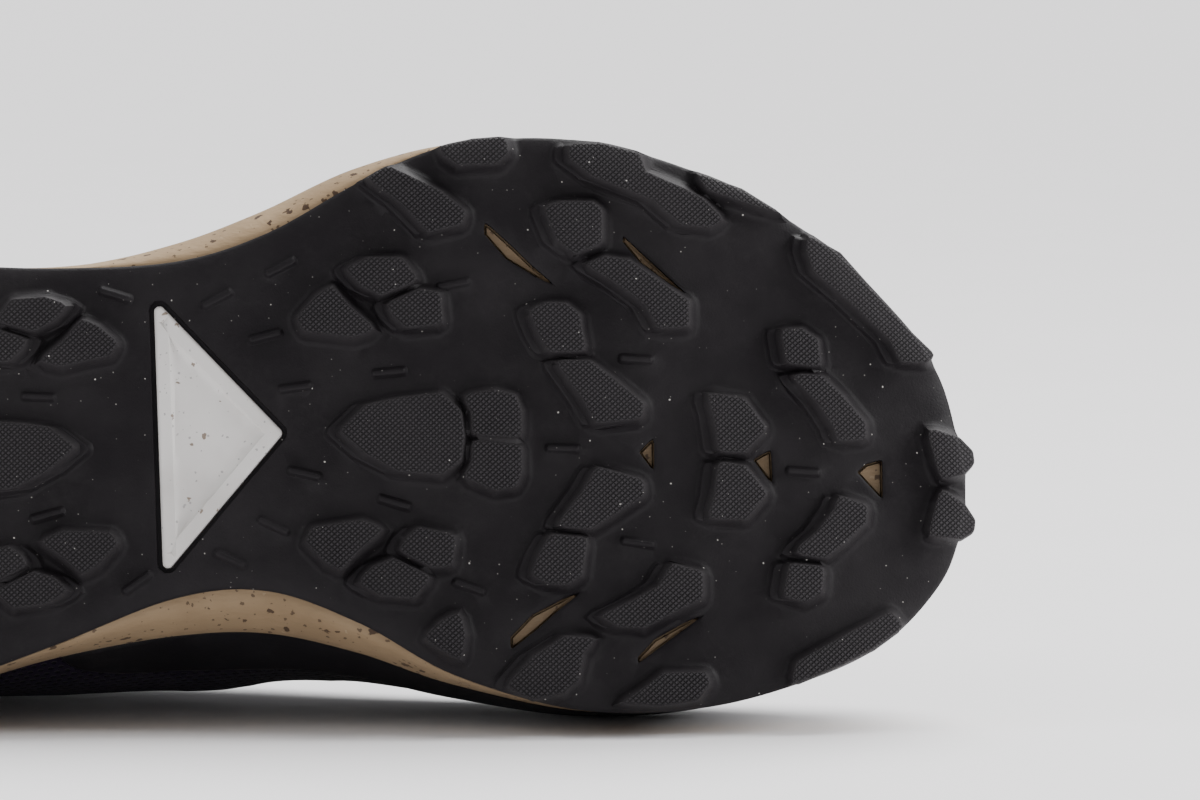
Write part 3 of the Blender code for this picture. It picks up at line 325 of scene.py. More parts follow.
def maths(tree, operation, a, b=0.0, clamp=False):
    return addNode(tree, "ShaderNodeMath", {0: a, 1: b}, operation=operation, use_clamp=clamp).outputs[0]


def plus(tree, a, b, clamp=False):
    return maths(tree, "ADD", a, b, clamp)


def minus(tree, a, b):
    return maths(tree, "SUBTRACT", a, b)


def times(tree, a, b):
    return maths(tree, "MULTIPLY", a, b)


def divided(tree, a, b):
    return maths(tree, "DIVIDE", a, b)


def ramp(tree, value, low, high, start=0.0, end=1.0):
    limits = {"Value": value, "From Min": low, "From Max": high, "To Min": start, "To Max": end}
    return addNode(tree, "ShaderNodeMapRange", limits, interpolation_type="SMOOTHSTEP").outputs["Result"]


def mixColour(tree, share, first, second, blendType="MIX"):
    given = {0: share, 6: first, 7: second}
    return addNode(tree, "ShaderNodeMix", given, data_type="RGBA", blend_type=blendType).outputs[2]


def noiseAt(tree, vector, scale, detail=2.0, roughness=0.5):
    return addNode(tree, "ShaderNodeTexNoise", {"Vector": vector, "Scale": scale, "Detail": detail,
                                                "Roughness": roughness}).outputs["Fac"]


def newGroup(name, inputs, outputs):  # takes a vector and named numbers, gives numbers
    tree = bpy.data.node_groups.new(name, "ShaderNodeTree")
    tree.interface.new_socket("Vector", in_out="INPUT", socket_type="NodeSocketVector")
    for label, value in inputs.items():
        tree.interface.new_socket(label, in_out="INPUT", socket_type="NodeSocketFloat").default_value = value
    for label in outputs:
        tree.interface.new_socket(label, in_out="OUTPUT", socket_type="NodeSocketFloat")
    return tree, tree.nodes.new("NodeGroupInput").outputs, tree.nodes.new("NodeGroupOutput").inputs


def useGroup(tree, group, **inputs):
    node = tree.nodes.new("ShaderNodeGroup")
    node.node_tree = group
    for label, value in inputs.items():
        if isinstance(value, bpy.types.NodeSocket):
            tree.links.new(value, node.inputs[label])
        else:
            node.inputs[label].default_value = value
    return node.outputs


def makeGrainGroup():  # moulded skin: fine grain, soft waviness and a broad tone
    tree, given, out = newGroup("mouldedGrain", {"Size": 0.0006, "Depth": 0.00003}, ("Height", "Tone"))
    fineScale = divided(tree, 1.0, given["Size"])
    fine = noiseAt(tree, given["Vector"], fineScale, 3.0, 0.6)
    wavy = noiseAt(tree, given["Vector"], times(tree, fineScale, 0.12), 2.0)
    height = plus(tree, fine, times(tree, wavy, 0.8))
    tree.links.new(times(tree, height, given["Depth"]), out["Height"])
    tree.links.new(ramp(tree, noiseAt(tree, given["Vector"], 38.0, 4.0, 0.6), 0.3, 0.7), out["Tone"])
    return tree


def makeFleckGroup():  # ragged flecks, one at most in each cell
    settings = {"Cell": 0.003, "Share": 0.4, "Size": 0.25, "Ragged": 0.3}
    tree, given, out = newGroup("flecks", settings, ("Mask", "Shade"))
    scale = divided(tree, 1.0, given["Cell"])
    bend = addNode(tree, "ShaderNodeTexNoise", {"Vector": given["Vector"], "Scale": times(tree, scale, 3.0),
                                                "Detail": 1.0})
    centred = addNode(tree, "ShaderNodeVectorMath", {0: bend.outputs["Color"], 1: (0.5, 0.5, 0.5)},
                      operation="SUBTRACT")
    push = addNode(tree, "ShaderNodeVectorMath", {0: centred.outputs[0], "Scale": given["Ragged"]},
                   operation="SCALE")
    cells = addNode(tree, "ShaderNodeVectorMath", {0: given["Vector"], "Scale": scale}, operation="SCALE")
    bent = addNode(tree, "ShaderNodeVectorMath", {0: cells.outputs[0], 1: push.outputs[0]}, operation="ADD")
    voronoi = addNode(tree, "ShaderNodeTexVoronoi", {"Vector": bent.outputs[0], "Scale": 1.0})
    random01 = addNode(tree, "ShaderNodeSeparateColor", {0: voronoi.outputs["Color"]})
    chosen = maths(tree, "LESS_THAN", random01.outputs[0], given["Share"])
    radius = times(tree, given["Size"], ramp(tree, random01.outputs[1], 0.0, 1.0, 0.25, 1.0))
    near = minus(tree, radius, voronoi.outputs["Distance"])
    mask = times(tree, ramp(tree, near, -0.015, 0.03), chosen)
    tree.links.new(mask, out["Mask"])
    tree.links.new(random01.outputs[2], out["Shade"])
    return tree


def makeKnurlGroup():  # small diamonds in two slanting rows, as cut into a mould
    tree, given, out = newGroup("knurl", {"Pitch": 0.001, "Slant": 0.9}, ("Height",))
    axes = addNode(tree, "ShaderNodeSeparateXYZ", {0: given["Vector"]})
    across = times(tree, axes.outputs[0], given["Slant"])
    sums = []
    for operation in ("ADD", "SUBTRACT"):
        line = divided(tree, maths(tree, operation, across, axes.outputs[1]), given["Pitch"])
        sums.append(maths(tree, "PINGPONG", line, 0.5))
    low = maths(tree, "MINIMUM", sums[0], sums[1])
    tree.links.new(ramp(tree, low, 0.02, 0.30), out["Height"])
    return tree


def makeKnitGroup():  # open knit: small holes in offset rows with raised loops between them
    tree, given, out = newGroup("knit", {"Pitch": 0.002, "Open": 0.3, "Thread": 0.0004}, ("Height", "Hole"))
    axes = addNode(tree, "ShaderNodeSeparateXYZ", {0: given["Vector"]})
    column = divided(tree, axes.outputs[0], given["Pitch"])
    row = divided(tree, axes.outputs[1], times(tree, given["Pitch"], 0.87))
    shift = times(tree, maths(tree, "FLOOR", maths(tree, "MODULO", plus(tree, row, 400.0), 2.0)), 0.5)
    placeU = minus(tree, maths(tree, "FRACT", plus(tree, column, shift)), 0.5)
    placeV = minus(tree, maths(tree, "FRACT", row), 0.5)
    squared = plus(tree, times(tree, placeU, placeU), times(tree, placeV, placeV))
    radius = maths(tree, "SQRT", squared)
    hole = minus(tree, 1.0, ramp(tree, minus(tree, radius, given["Open"]), -0.10, 0.06))
    strands = []
    for axis in (0, 1):
        line = divided(tree, axes.outputs[axis], given["Thread"])
        strands.append(maths(tree, "PINGPONG", line, 0.5))
    cord = plus(tree, strands[0], times(tree, strands[1], 0.7))
    height = minus(tree, times(tree, cord, 0.5), times(tree, hole, 1.2))
    tree.links.new(height, out["Height"])
    tree.links.new(hole, out["Hole"])
    return tree


def makeRubGroup():  # light handling marks and lint: a sparse cloudy mask
    tree, given, out = newGroup("rub", {"Scale": 60.0, "Amount": 0.3}, ("Mask",))
    cloud = noiseAt(tree, given["Vector"], given["Scale"], 6.0, 0.7)
    streaks = noiseAt(tree, given["Vector"], times(tree, given["Scale"], 9.0), 2.0, 0.7)
    both = times(tree, ramp(tree, cloud, 0.42, 0.72), ramp(tree, streaks, 0.35, 0.75))
    tree.links.new(times(tree, both, given["Amount"]), out["Mask"])
    return tree


grainGroup = makeGrainGroup()
fleckGroup = makeFleckGroup()
knurlGroup = makeKnurlGroup()
knitGroup = makeKnitGroup()
rubGroup = makeRubGroup()


def startMaterial(name, **sockets):
    material = bpy.data.materials.new(name)
    material.use_nodes = True
    tree = material.node_tree
    shader = tree.nodes["Principled BSDF"]
    for label, value in sockets.items():
        shader.inputs[label.replace("_", " ")].default_value = value
    coords = addNode(tree, "ShaderNodeTexCoord")
    return material, tree, shader, coords.outputs["Object"]


def planCoords(tree):
    return addNode(tree, "ShaderNodeUVMap", uv_map="plan").outputs[0]


def markValue(tree, label):
    return addNode(tree, "ShaderNodeAttribute", attribute_name=label).outputs["Fac"]


def finishMaterial(tree, shader, colour, roughness, height):
    tree.links.new(colour, shader.inputs["Base Color"])
    tree.links.new(roughness, shader.inputs["Roughness"])
    bump = addNode(tree, "ShaderNodeBump", {"Height": height, "Distance": 1.0, "Strength": 1.0})
    tree.links.new(bump.outputs[0], shader.inputs["Normal"])


def rubberMaterial():
    look = {
        "base": (0.0088, 0.0074, 0.0088, 1), "tops": (0.0058, 0.0050, 0.0058, 1),
        "knurlHighlight": (0.046, 0.042, 0.046, 1), "worn": (0.060, 0.056, 0.058, 1), "speck": (0.55, 0.53, 0.50, 1),
        "knurlPitch": 0.00102, "knurlDepth": 0.00034, "grainSize": 0.00042, "grainDepth": 0.00008,
    }
    material, tree, shader, where = startMaterial("treadRubber", Specular_IOR_Level=0.13)
    plan = planCoords(tree)
    tops, rims = markValue(tree, "lugTop"), markValue(tree, "lugRim")
    grain = useGroup(tree, grainGroup, Vector=where, Size=look["grainSize"], Depth=look["grainDepth"])
    knurl = useGroup(tree, knurlGroup, Vector=plan, Pitch=look["knurlPitch"])["Height"]
    knurled = times(tree, knurl, tops)
    dots = useGroup(tree, fleckGroup, Vector=where, Cell=0.0030, Share=0.60, Size=0.065, Ragged=0.10)["Mask"]
    fineDots = useGroup(tree, fleckGroup, Vector=where, Cell=0.0014, Share=0.40, Size=0.085, Ragged=0.10)["Mask"]
    rubbed = useGroup(tree, rubGroup, Vector=where, Scale=90.0, Amount=0.45)["Mask"]
    colour = mixColour(tree, tops, look["base"], look["tops"])
    # the knurl's raised diamonds on the lug tops are painted lighter: a painted highlight on their tips
    colour = mixColour(tree, times(tree, knurled, 0.75), colour, look["knurlHighlight"])
    colour = mixColour(tree, times(tree, grain["Tone"], 0.14), colour, look["worn"])
    colour = mixColour(tree, times(tree, plus(tree, rims, rubbed, True), 0.22), colour, look["worn"])
    colour = mixColour(tree, plus(tree, dots, times(tree, fineDots, 0.45), True), colour, look["speck"])
    rough = plus(tree, ramp(tree, grain["Tone"], 0.0, 1.0, 0.50, 0.60), times(tree, tops, 0.10))
    height = plus(tree, grain["Height"], times(tree, knurled, look["knurlDepth"]))
    finishMaterial(tree, shader, colour, rough, height)
    return material


def plateMaterial():
    look = {"base": (0.70, 0.68, 0.66, 1), "shade": (0.58, 0.56, 0.54, 1),
            "grey": (0.23, 0.22, 0.22, 1), "brown": (0.16, 0.105, 0.06, 1)}
    material, tree, shader, where = startMaterial("plateRubber", Specular_IOR_Level=0.45)
    grain = useGroup(tree, grainGroup, Vector=where, Size=0.0004, Depth=0.000018)
    small = useGroup(tree, fleckGroup, Vector=where, Cell=0.0012, Share=0.50, Size=0.22, Ragged=0.4)
    large = useGroup(tree, fleckGroup, Vector=where, Cell=0.0027, Share=0.45, Size=0.22, Ragged=0.6)
    colour = mixColour(tree, grain["Tone"], look["base"], look["shade"])
    colour = mixColour(tree, times(tree, small["Mask"], 0.65), colour, look["grey"])
    colour = mixColour(tree, times(tree, large["Mask"], 0.85), colour, look["brown"])
    finishMaterial(tree, shader, colour, ramp(tree, grain["Tone"], 0.0, 1.0, 0.42, 0.52), grain["Height"])
    return material


def foamMaterial():
    look = {"base": (0.360, 0.255, 0.148, 1), "deep": (0.290, 0.200, 0.112, 1),
            "fleck": (0.040, 0.017, 0.007, 1), "pale": (0.50, 0.39, 0.26, 1),
            "shadow": (0.055, 0.036, 0.022, 1), "creaseDepth": 0.00022}
    material, tree, shader, where = startMaterial("speckledFoam", Specular_IOR_Level=0.35)
    grain = useGroup(tree, grainGroup, Vector=where, Size=0.0009, Depth=0.00005)
    fine = useGroup(tree, fleckGroup, Vector=where, Cell=0.0016, Share=0.70, Size=0.28, Ragged=0.5)
    bold = useGroup(tree, fleckGroup, Vector=where, Cell=0.0032, Share=0.60, Size=0.28, Ragged=0.6)
    pale = useGroup(tree, fleckGroup, Vector=where, Cell=0.0031, Share=0.15, Size=0.16, Ragged=0.5)
    flattened = addNode(tree, "ShaderNodeMapping", {"Vector": where, "Scale": (1.0, 1.0, 3.0)}).outputs[0]
    wrinkle = noiseAt(tree, flattened, 320.0, 2.0, 0.55)
    colour = mixColour(tree, grain["Tone"], look["base"], look["deep"])
    colour = mixColour(tree, times(tree, pale["Mask"], 0.35), colour, look["pale"])
    colour = mixColour(tree, times(tree, fine["Mask"], 0.75), colour, look["fleck"])
    colour = mixColour(tree, times(tree, bold["Mask"], 0.92), colour, look["fleck"])
    colour = mixColour(tree, times(tree, markValue(tree, "shaded"), 0.8), colour, look["shadow"])
    height = plus(tree, grain["Height"], times(tree, wrinkle, look["creaseDepth"]))
    finishMaterial(tree, shader, colour, ramp(tree, grain["Tone"], 0.0, 1.0, 0.60, 0.74), height)
    return material


def clothMaterial(name, colour, second, pitch, opening, depth, tint=None, sheen=0.06):
    material, tree, shader, where = startMaterial(name, Sheen_Weight=sheen, Sheen_Roughness=0.5,
                                                  Specular_IOR_Level=0.18)
    plan = planCoords(tree)
    knit = useGroup(tree, knitGroup, Vector=plan, Pitch=pitch, Open=opening)
    mottled = ramp(tree, noiseAt(tree, where, 900.0, 3.0, 0.7), 0.3, 0.7)
    shade = mixColour(tree, mottled, colour, second)
    if tint:  # another dye where the piece carries the mark
        shade = mixColour(tree, markValue(tree, "dye"), shade, tint)
        shade = mixColour(tree, times(tree, mottled, 0.35), shade, second)
    # the knit's recessed holes are painted near black: painted shade inside the holes
    shade = mixColour(tree, times(tree, knit["Hole"], 0.8), shade, (0.003, 0.003, 0.004, 1))
    rubbed = useGroup(tree, rubGroup, Vector=where, Scale=45.0, Amount=0.10)["Mask"]
    shade = mixColour(tree, rubbed, shade, (0.10, 0.09, 0.09, 1))
    rough = ramp(tree, mottled, 0.0, 1.0, 0.78, 0.92)
    finishMaterial(tree, shader, shade, rough, times(tree, knit["Height"], depth))
    return material


def filmMaterial():
    material, tree, shader, where = startMaterial("weldedFilm", Coat_Weight=0.04, Coat_Roughness=0.35,
                                                  Specular_IOR_Level=0.25)
    grain = useGroup(tree, grainGroup, Vector=where, Size=0.0007, Depth=0.00003)
    rubbed = useGroup(tree, rubGroup, Vector=where, Scale=70.0, Amount=0.35)["Mask"]
    colour = mixColour(tree, grain["Tone"], (0.0085, 0.0075, 0.0095, 1), (0.013, 0.012, 0.015, 1))
    colour = mixColour(tree, rubbed, colour, (0.055, 0.052, 0.055, 1))
    rough = plus(tree, ramp(tree, grain["Tone"], 0.0, 1.0, 0.40, 0.50), times(tree, rubbed, 0.3))
    finishMaterial(tree, shader, colour, rough, grain["Height"])
    return material


def laceMaterial():
    material, tree, shader, where = startMaterial("laceCord", Sheen_Weight=0.3, Sheen_Roughness=0.4,
                                                  Specular_IOR_Level=0.3)
    braid = useGroup(tree, knurlGroup, Vector=planCoords(tree), Pitch=0.0009, Slant=1.4)["Height"]
    fuzz = noiseAt(tree, where, 2600.0, 3.0, 0.7)
    colour = mixColour(tree, braid, (0.007, 0.006, 0.008, 1), (0.020, 0.017, 0.023, 1))
    colour = mixColour(tree, ramp(tree, fuzz, 0.55, 0.8, 0.0, 0.35), colour, (0.05, 0.045, 0.06, 1))
    finishMaterial(tree, shader, colour, ramp(tree, fuzz, 0.2, 0.8, 0.72, 0.88), times(tree, braid, 0.00022))
    return material


def threadMaterial():
    material, tree, shader, where = startMaterial("stitchThread", Sheen_Weight=0.2, Specular_IOR_Level=0.35)
    twist = noiseAt(tree, where, 3200.0, 2.0, 0.6)
    colour = mixColour(tree, twist, (0.018, 0.015, 0.024, 1), (0.045, 0.038, 0.058, 1))
    finishMaterial(tree, shader, colour, ramp(tree, twist, 0.2, 0.8, 0.5, 0.7), times(tree, twist, 0.00008))
    return material


nearBlack, blackTwo = (0.0040, 0.0033, 0.0045, 1), (0.0085, 0.0072, 0.0096, 1)
purple = (0.014, 0.0055, 0.027, 1)
upperCloth = clothMaterial("upperKnit", nearBlack, blackTwo, 0.0021, 0.27, 0.00022, purple)
liningCloth = clothMaterial("collarLining", (0.0100, 0.0085, 0.0118, 1), (0.018, 0.016, 0.021, 1),
                            0.0016, 0.20, 0.00014)
tongueCloth = clothMaterial("tongueKnit", (0.0075, 0.0062, 0.0090, 1), blackTwo, 0.0026, 0.30, 0.00024)
insoleCloth = clothMaterial("insoleCloth", (0.0110, 0.0095, 0.0130, 1), (0.020, 0.018, 0.024, 1),
                            0.0012, 0.16, 0.00010)
film = filmMaterial()
print("materials: shared groups, cloths and film ready")

# line that the tread is mirrored about: share of length, share of ball width
treadAxis = [(0.00, 0.107), (0.10, 0.105), (0.25, 0.085), (0.38, 0.050), (0.50, 0.022), (0.59, 0.016),
             (0.655, 0.024), (0.69, 0.036), (0.76, 0.045), (0.84, 0.065), (0.91, 0.081), (0.96, 0.098), (1.0, 0.115)]

# lugs: side, copied under the heel, shift of the medial copy, ledge, then corners
# in percent of the length and percent of the ball width out from the axis
lugRows = [
    ("both", True, (0.5, -0.8), False,
     [(57.2, 23.7), (58.3, 25.4), (59.5, 21.6), (61.3, 17.6), (59.6, 16.1), (56.4, 17.3), (55.9, 19.9)]),
    ("both", True, (0.7, -1.8), True,
     [(59.0, 28.2), (60.6, 30.4), (62.8, 30.6), (64.0, 26.6), (61.4, 23.5), (60.1, 25.1)]),
    ("both", True, (0.7, -1.8), True,
     [(61.7, 22.4), (63.9, 25.2), (65.3, 24.7), (65.5, 19.0), (63.0, 18.0), (62.2, 20.0)]),
    ("axis", True, (0, 0), True,
     [(58.8, 0.4), (60.4, 4.7), (62.5, 6.1), (65.3, 7.3), (66.6, 4.4), (66.8, 0),
      (66.6, -4.4), (65.3, -7.3), (62.5, -7.0), (60.4, -4.2), (58.8, -0.6)]),
    ("both", True, (0, 0), False,
     [(66.6, 7.3), (68.7, 8.9), (70.1, 8.2), (70.5, 5.4), (70.5, 0.5), (67.2, 0.3), (67.2, 4.0)]),
    ("both", True, (0, 0), True,
     [(70.9, 23.2), (72.1, 24.6), (73.4, 24.6), (74.3, 22.8), (74.7, 16.0), (72.2, 15.7), (71.5, 19.0)]),
    ("both", True, (0, 0), True,
     [(72.5, 14.6), (74.9, 14.8), (76.5, 11.8), (78.4, 8.1), (78.3, 5.2), (75.2, 3.6), (74.3, 8.0), (73.4, 11.2)]),
    ("lateral", True, (0, 0), True,
     [(71.9, 41.2), (73.2, 42.4), (75.2, 42.6), (75.8, 41.3), (75.8, 35.3), (74.0, 32.9), (72.8, 35.3)]),
    ("medial", False, (0, 0), True,
     [(69.2, 42.6), (71.0, 44.6), (73.0, 43.4), (74.0, 41.0), (74.4, 36.0), (75.3, 33.4), (73.1, 33.2),
      (71.0, 37.0)]),
    ("both", True, (0.7, -1.8), True,
     [(74.4, 31.5), (75.9, 33.2), (77.5, 33.0), (79.6, 29.6), (81.4, 26.8), (81.4, 22.0), (79.3, 21.1),
      (78.4, 25.3), (76.5, 28.5)]),
    ("both", True, (0, 0), True,
     [(82.3, 11.2), (84.9, 10.7), (86.4, 5.7), (84.9, 1.0), (83.1, 0.7), (82.8, 6.8)]),
    ("both", True, (0, 0), True,
     [(87.2, 23.5), (88.7, 24.0), (89.8, 22.3), (90.0, 17.3), (87.6, 17.3)]),
    ("both", True, (0, 0), True,
     [(87.6, 15.9), (90.0, 16.1), (91.4, 12.8), (92.8, 8.8), (92.9, 5.7), (90.9, 4.5), (90.6, 7.1), (89.5, 11.2)]),
    ("lateral", False, (0, 0), True,
     [(61.9, 46.7), (65.4, 42.4), (67.0, 39.4), (66.8, 36.9), (64.5, 34.8), (62.8, 39.6), (60.4, 44.3)]),
    ("lateral", False, (0, 0), False,
     [(65.2, 50.3), (67.4, 52.4), (69.6, 53.4), (69.8, 50.3), (69.0, 48.1), (66.4, 47.1), (65.6, 48.3)]),
    ("lateral", False, (0, 0), True,
     [(73.6, 52.4), (75.8, 53.1), (78.3, 51.9), (78.7, 48.6), (81.1, 46.5), (82.4, 45.0), (83.8, 41.5),
      (82.7, 39.8), (80.8, 39.8), (79.0, 43.6), (75.2, 46.7), (73.6, 49.7)]),
    ("lateral", False, (0, 0), False, [(81.7, 49.7), (84.9, 47.6), (87.7, 43.6), (86.0, 44.3), (82.6, 46.4)]),
    ("lateral", True, (0, 0), True,
     [(89.1, 40.7), (91.3, 38.2), (93.8, 31.5), (95.9, 26.1), (97.5, 22.8), (96.9, 20.9), (95.1, 20.1),
      (94.4, 23.7), (91.9, 29.2), (89.4, 34.1), (89.0, 37.7)]),
    ("medial", False, (0, 0), False,
     [(66.4, 30.1), (66.8, 34.4), (66.5, 39.3), (65.3, 37.7), (63.9, 35.6), (65.0, 32.5)]),
    ("medial", False, (0, 0), False,
     [(79.4, 38.4), (82.2, 37.5), (82.5, 39.4), (81.7, 42.7), (79.3, 44.3), (76.4, 44.5), (77.8, 42.0)]),
    ("medial", False, (0, 0), False,
     [(94.3, 23.5), (95.2, 26.0), (93.2, 30.6), (91.1, 34.1), (87.6, 38.8), (88.0, 34.4), (91.4, 28.5)]),
    ("both", False, (0, 0), False,
     [(96.7, 9.7), (99.0, 9.0), (99.9, 7.1), (100.0, 5.0), (99.3, 2.6), (97.7, 0.5), (97.3, 3.5)]),
]
windowRows = [
    ("both", False, (1.5, -2.6), False,
     [(68.1, 38.6), (69.8, 34.8), (71.2, 31.3), (72.8, 27.7), (71.5, 29.2), (69.5, 32.2), (68.1, 36.2)]),
    ("both", False, (0.7, -0.4), False,
     [(77.1, 37.5), (79.1, 33.0), (81.4, 27.9), (80.2, 29.4), (78.2, 32.9), (77.1, 36.3)]),
    ("axis", False, (0, 0), False, [(79.0, 2.8), (79.0, -3.6), (78.0, -0.2)]),
    ("axis", False, (0, 0), False, [(86.6, 2.6), (86.7, -3.8), (85.4, 0.5)]),
    ("axis", False, (0, 0), False, [(93.9, 3.1), (93.9, -4.2), (92.2, 0.2), (92.8, 1.9)]),
]
# raised dashes between the lugs: percent of length, percent of ball width, turn in degrees
dashRows = [
    (44.2, -22.7, 18), (50.8, -21.8, -27), (54.9, -27.2, -27), (53.9, -15.2, -14), (55.8, -6.2, -7), (61.9, -8.7, -5),
    (66.1, -24.0, -10), (39.2, -5.0, 3), (39.8, 15.6, -15), (56.4, 8.8, 14), (62.2, 14.0, 17), (54.4, 17.8, 25),
    (51.6, 23.5, 25), (45.6, 27.5, -35), (67.0, 28.7, 20), (73.1, 4.7, 2), (77.9, -10.9, 3), (77.9, 21.1, 8),
    (88.7, 8.5, 3), (34.3, -17.0, 10), (34.0, 38.0, -18), (27.3, 9.6, -2), (22.5, -4.0, -3), (22.5, 25.0, -8),
]
tread = {
    "heelMirror": 50.2, "heelSpread": 1.12, "cornerRadius": 0.0013, "steps": 10,
    "lugProfile": [(-0.00045, 1.0), (-0.00012, 0.98), (0.0, 0.93), (0.0011, 0.22), (0.0017, 0.05), (0.0023, 0.0)],
    "ledgeProfile": [(-0.0003, 1.0), (0.0, 0.92), (0.0005, 0.25), (0.0010, 0.0)],
    "dashProfile": [(-0.0004, 1.0), (-0.00015, 0.88), (0.0, 0.70), (0.00025, 0.20), (0.0005, 0.0)],
    "ledgeRun": 0.0026, "ledgeHeight": 0.0017, "dashHeight": 0.0011, "dashLength": 0.0064, "dashWidth": 0.0013,
    "edgeRoll": 0.0010, "edgeRollWidth": 0.006, "edgeRound": 0.0004, "edgeRoundWidth": 0.0007,
    "windowRound": 0.0003, "windowRoundWidth": 0.0005, "gridSpacing": 0.0032, "waviness": 0.00012,
    "edgeRows": (0.00025, 0.0007, 0.0025, 0.006), "dashCorner": 0.0005, "windowCorner": 0.0005,
    "topFade": 0.00045, "rimFade": 0.0003,
}
plate = {
    "along": 0.4683, "across": 0.0208, "span": 0.0544, "reach": 0.0247, "corner": 0.0010, "gap": 0.00015,
    "groove": 0.0009, "grooveDepth": 0.0014,
    "corners": [(-0.02, -0.50), (1.00, -0.011), (0.05, 0.50)], "sink": 0.0004, "round": 0.00035,
    "border": 0.0027, "leftBorder": 0.0010, "field": 0.0009, "bevel": 0.0006,
    "edgeRows": (0.0002, 0.0005), "roundWidth": 0.0005, "grid": 0.0016,
}


def treadPlace(along, out, side):
    x = along / 100 * shoe["length"]
    return (x, (through(treadAxis, along / 100) + side * out / 100) * shoe["ballWidth"])


def treadCopies(row):
    side, heel, shift, _, corners = row
    loops = []
    for turn in {"both": (-1, 1), "lateral": (-1,), "medial": (1,), "axis": (-1,)}[side]:
        moved = shift if turn > 0 else (0, 0)
        loops.append([treadPlace(a + moved[0], o + moved[1], turn) for a, o in corners])
    if heel:
        spread = tread["heelSpread"] * shoe["heelWidth"] / shoe["ballWidth"]
        for turn in (-1, 1) if side != "axis" else (-1,):
            loops.append([treadPlace(2 * tread["heelMirror"] - a, o * spread, turn) for a, o in corners])
    return loops


def plateLoop(extra, steps=6):
    base = Vector((plate["along"] * shoe["length"], plate["across"] * shoe["ballWidth"]))
    corners = [base + Vector((a * plate["reach"], c * plate["span"])) for a, c in plate["corners"]]
    loop = []
    for before, here, after in zip(corners[-1:] + corners[:-1], corners, corners[1:] + corners[:1]):
        toBefore, toAfter = (before - here).normalized(), (after - here).normalized()
        half = toBefore.angle(toAfter) / 2
        centre = here + (toBefore + toAfter).normalized() * plate["corner"] / math.sin(half)
        start = here + toBefore * plate["corner"] / math.tan(half) - centre
        end = here + toAfter * plate["corner"] / math.tan(half) - centre
        for step in range(steps + 1):
            loop.append(tuple(centre + start.lerp(end, step / steps).normalized() * plate["corner"]))
    return growLoop(loop, extra)


def dashLoops():
    loops = []
    for along, across, turn in dashRows:
        centre = Vector((along / 100 * shoe["length"], across / 100 * shoe["ballWidth"]))
        way = Vector((math.cos(math.radians(turn)), math.sin(math.radians(turn)))) * tread["dashLength"] / 2
        side = Vector((-way.y, way.x)).normalized() * tread["dashWidth"] / 2
        loops.append([tuple(centre + way * a + side * b) for a, b in ((-1, -1), (1, -1), (1, 1), (-1, 1))])
    return [roundLoop(loop, tread["dashCorner"], 3) for loop in loops]


def treadFeatures():  # every raised form: its top loop, its profile and its height
    found = []
    for row in lugRows:
        for loop in treadCopies(row):
            rounded = roundLoop(loop, tread["cornerRadius"], 2)
            found.append((rounded, tread["lugProfile"], shoe["lugHeight"], "lug"))
            if row[3]:
                centre = sum(p[0] for p in loop) / len(loop)
                back = tread["ledgeRun"] * (1 if centre < tread["heelMirror"] / 100 * shoe["length"] else -1)
                ledge = [(p[0] + back, p[1]) for p in rounded]
                found.append((ledge, tread["ledgeProfile"], tread["ledgeHeight"], "ledge"))
    return found + [(loop, tread["dashProfile"], tread["dashHeight"], "dash") for loop in dashLoops()]


treadWindows = [roundLoop(loop, tread["windowCorner"], 2) for row in windowRows for loop in treadCopies(row)]
treadOutline = [tuple(edgeAt(at)) for at in stationPlaces(tread["steps"])]
groundMany = np.vectorize(groundAt)
seatMany = np.vectorize(seatAt)


def gridSpots(loop, spacing, margin):
    corners = np.array(loop)
    low, high = corners.min(0), corners.max(0)
    columns, rows = np.meshgrid(np.arange(low[0], high[0], spacing), np.arange(low[1], high[1], spacing))
    columns = columns + spacing / 2 * (np.arange(rows.shape[0]) % 2)[:, None]
    spots = np.column_stack([columns.ravel(), rows.ravel()])
    return [tuple(spot) for spot in spots[distanceMany(spots, loop) < -margin]]


def treadRelief(plan, features):  # height of the raised forms, and how far each point is from a lug's edge
    best = np.zeros(len(plan))
    fromLug = np.full(len(plan), 0.01)
    for loop, profile, height, kind in features:
        corners = np.array(loop)
        reach = profile[-1][0]
        near = np.all((plan > corners.min(0) - reach) & (plan < corners.max(0) + reach), axis=1)
        if not near.any():
            continue
        distance = distanceMany(plan[near], loop)
        rise = height * np.interp(distance, [row[0] for row in profile], [row[1] for row in profile])
        best[near] = np.maximum(best[near], rise)
        if kind == "lug":
            fromLug[near] = np.where(np.abs(distance) < np.abs(fromLug[near]), distance, fromLug[near])
            fromLug[near] = np.where(distance < -0.0004, distance, fromLug[near])
    return best, fromLug


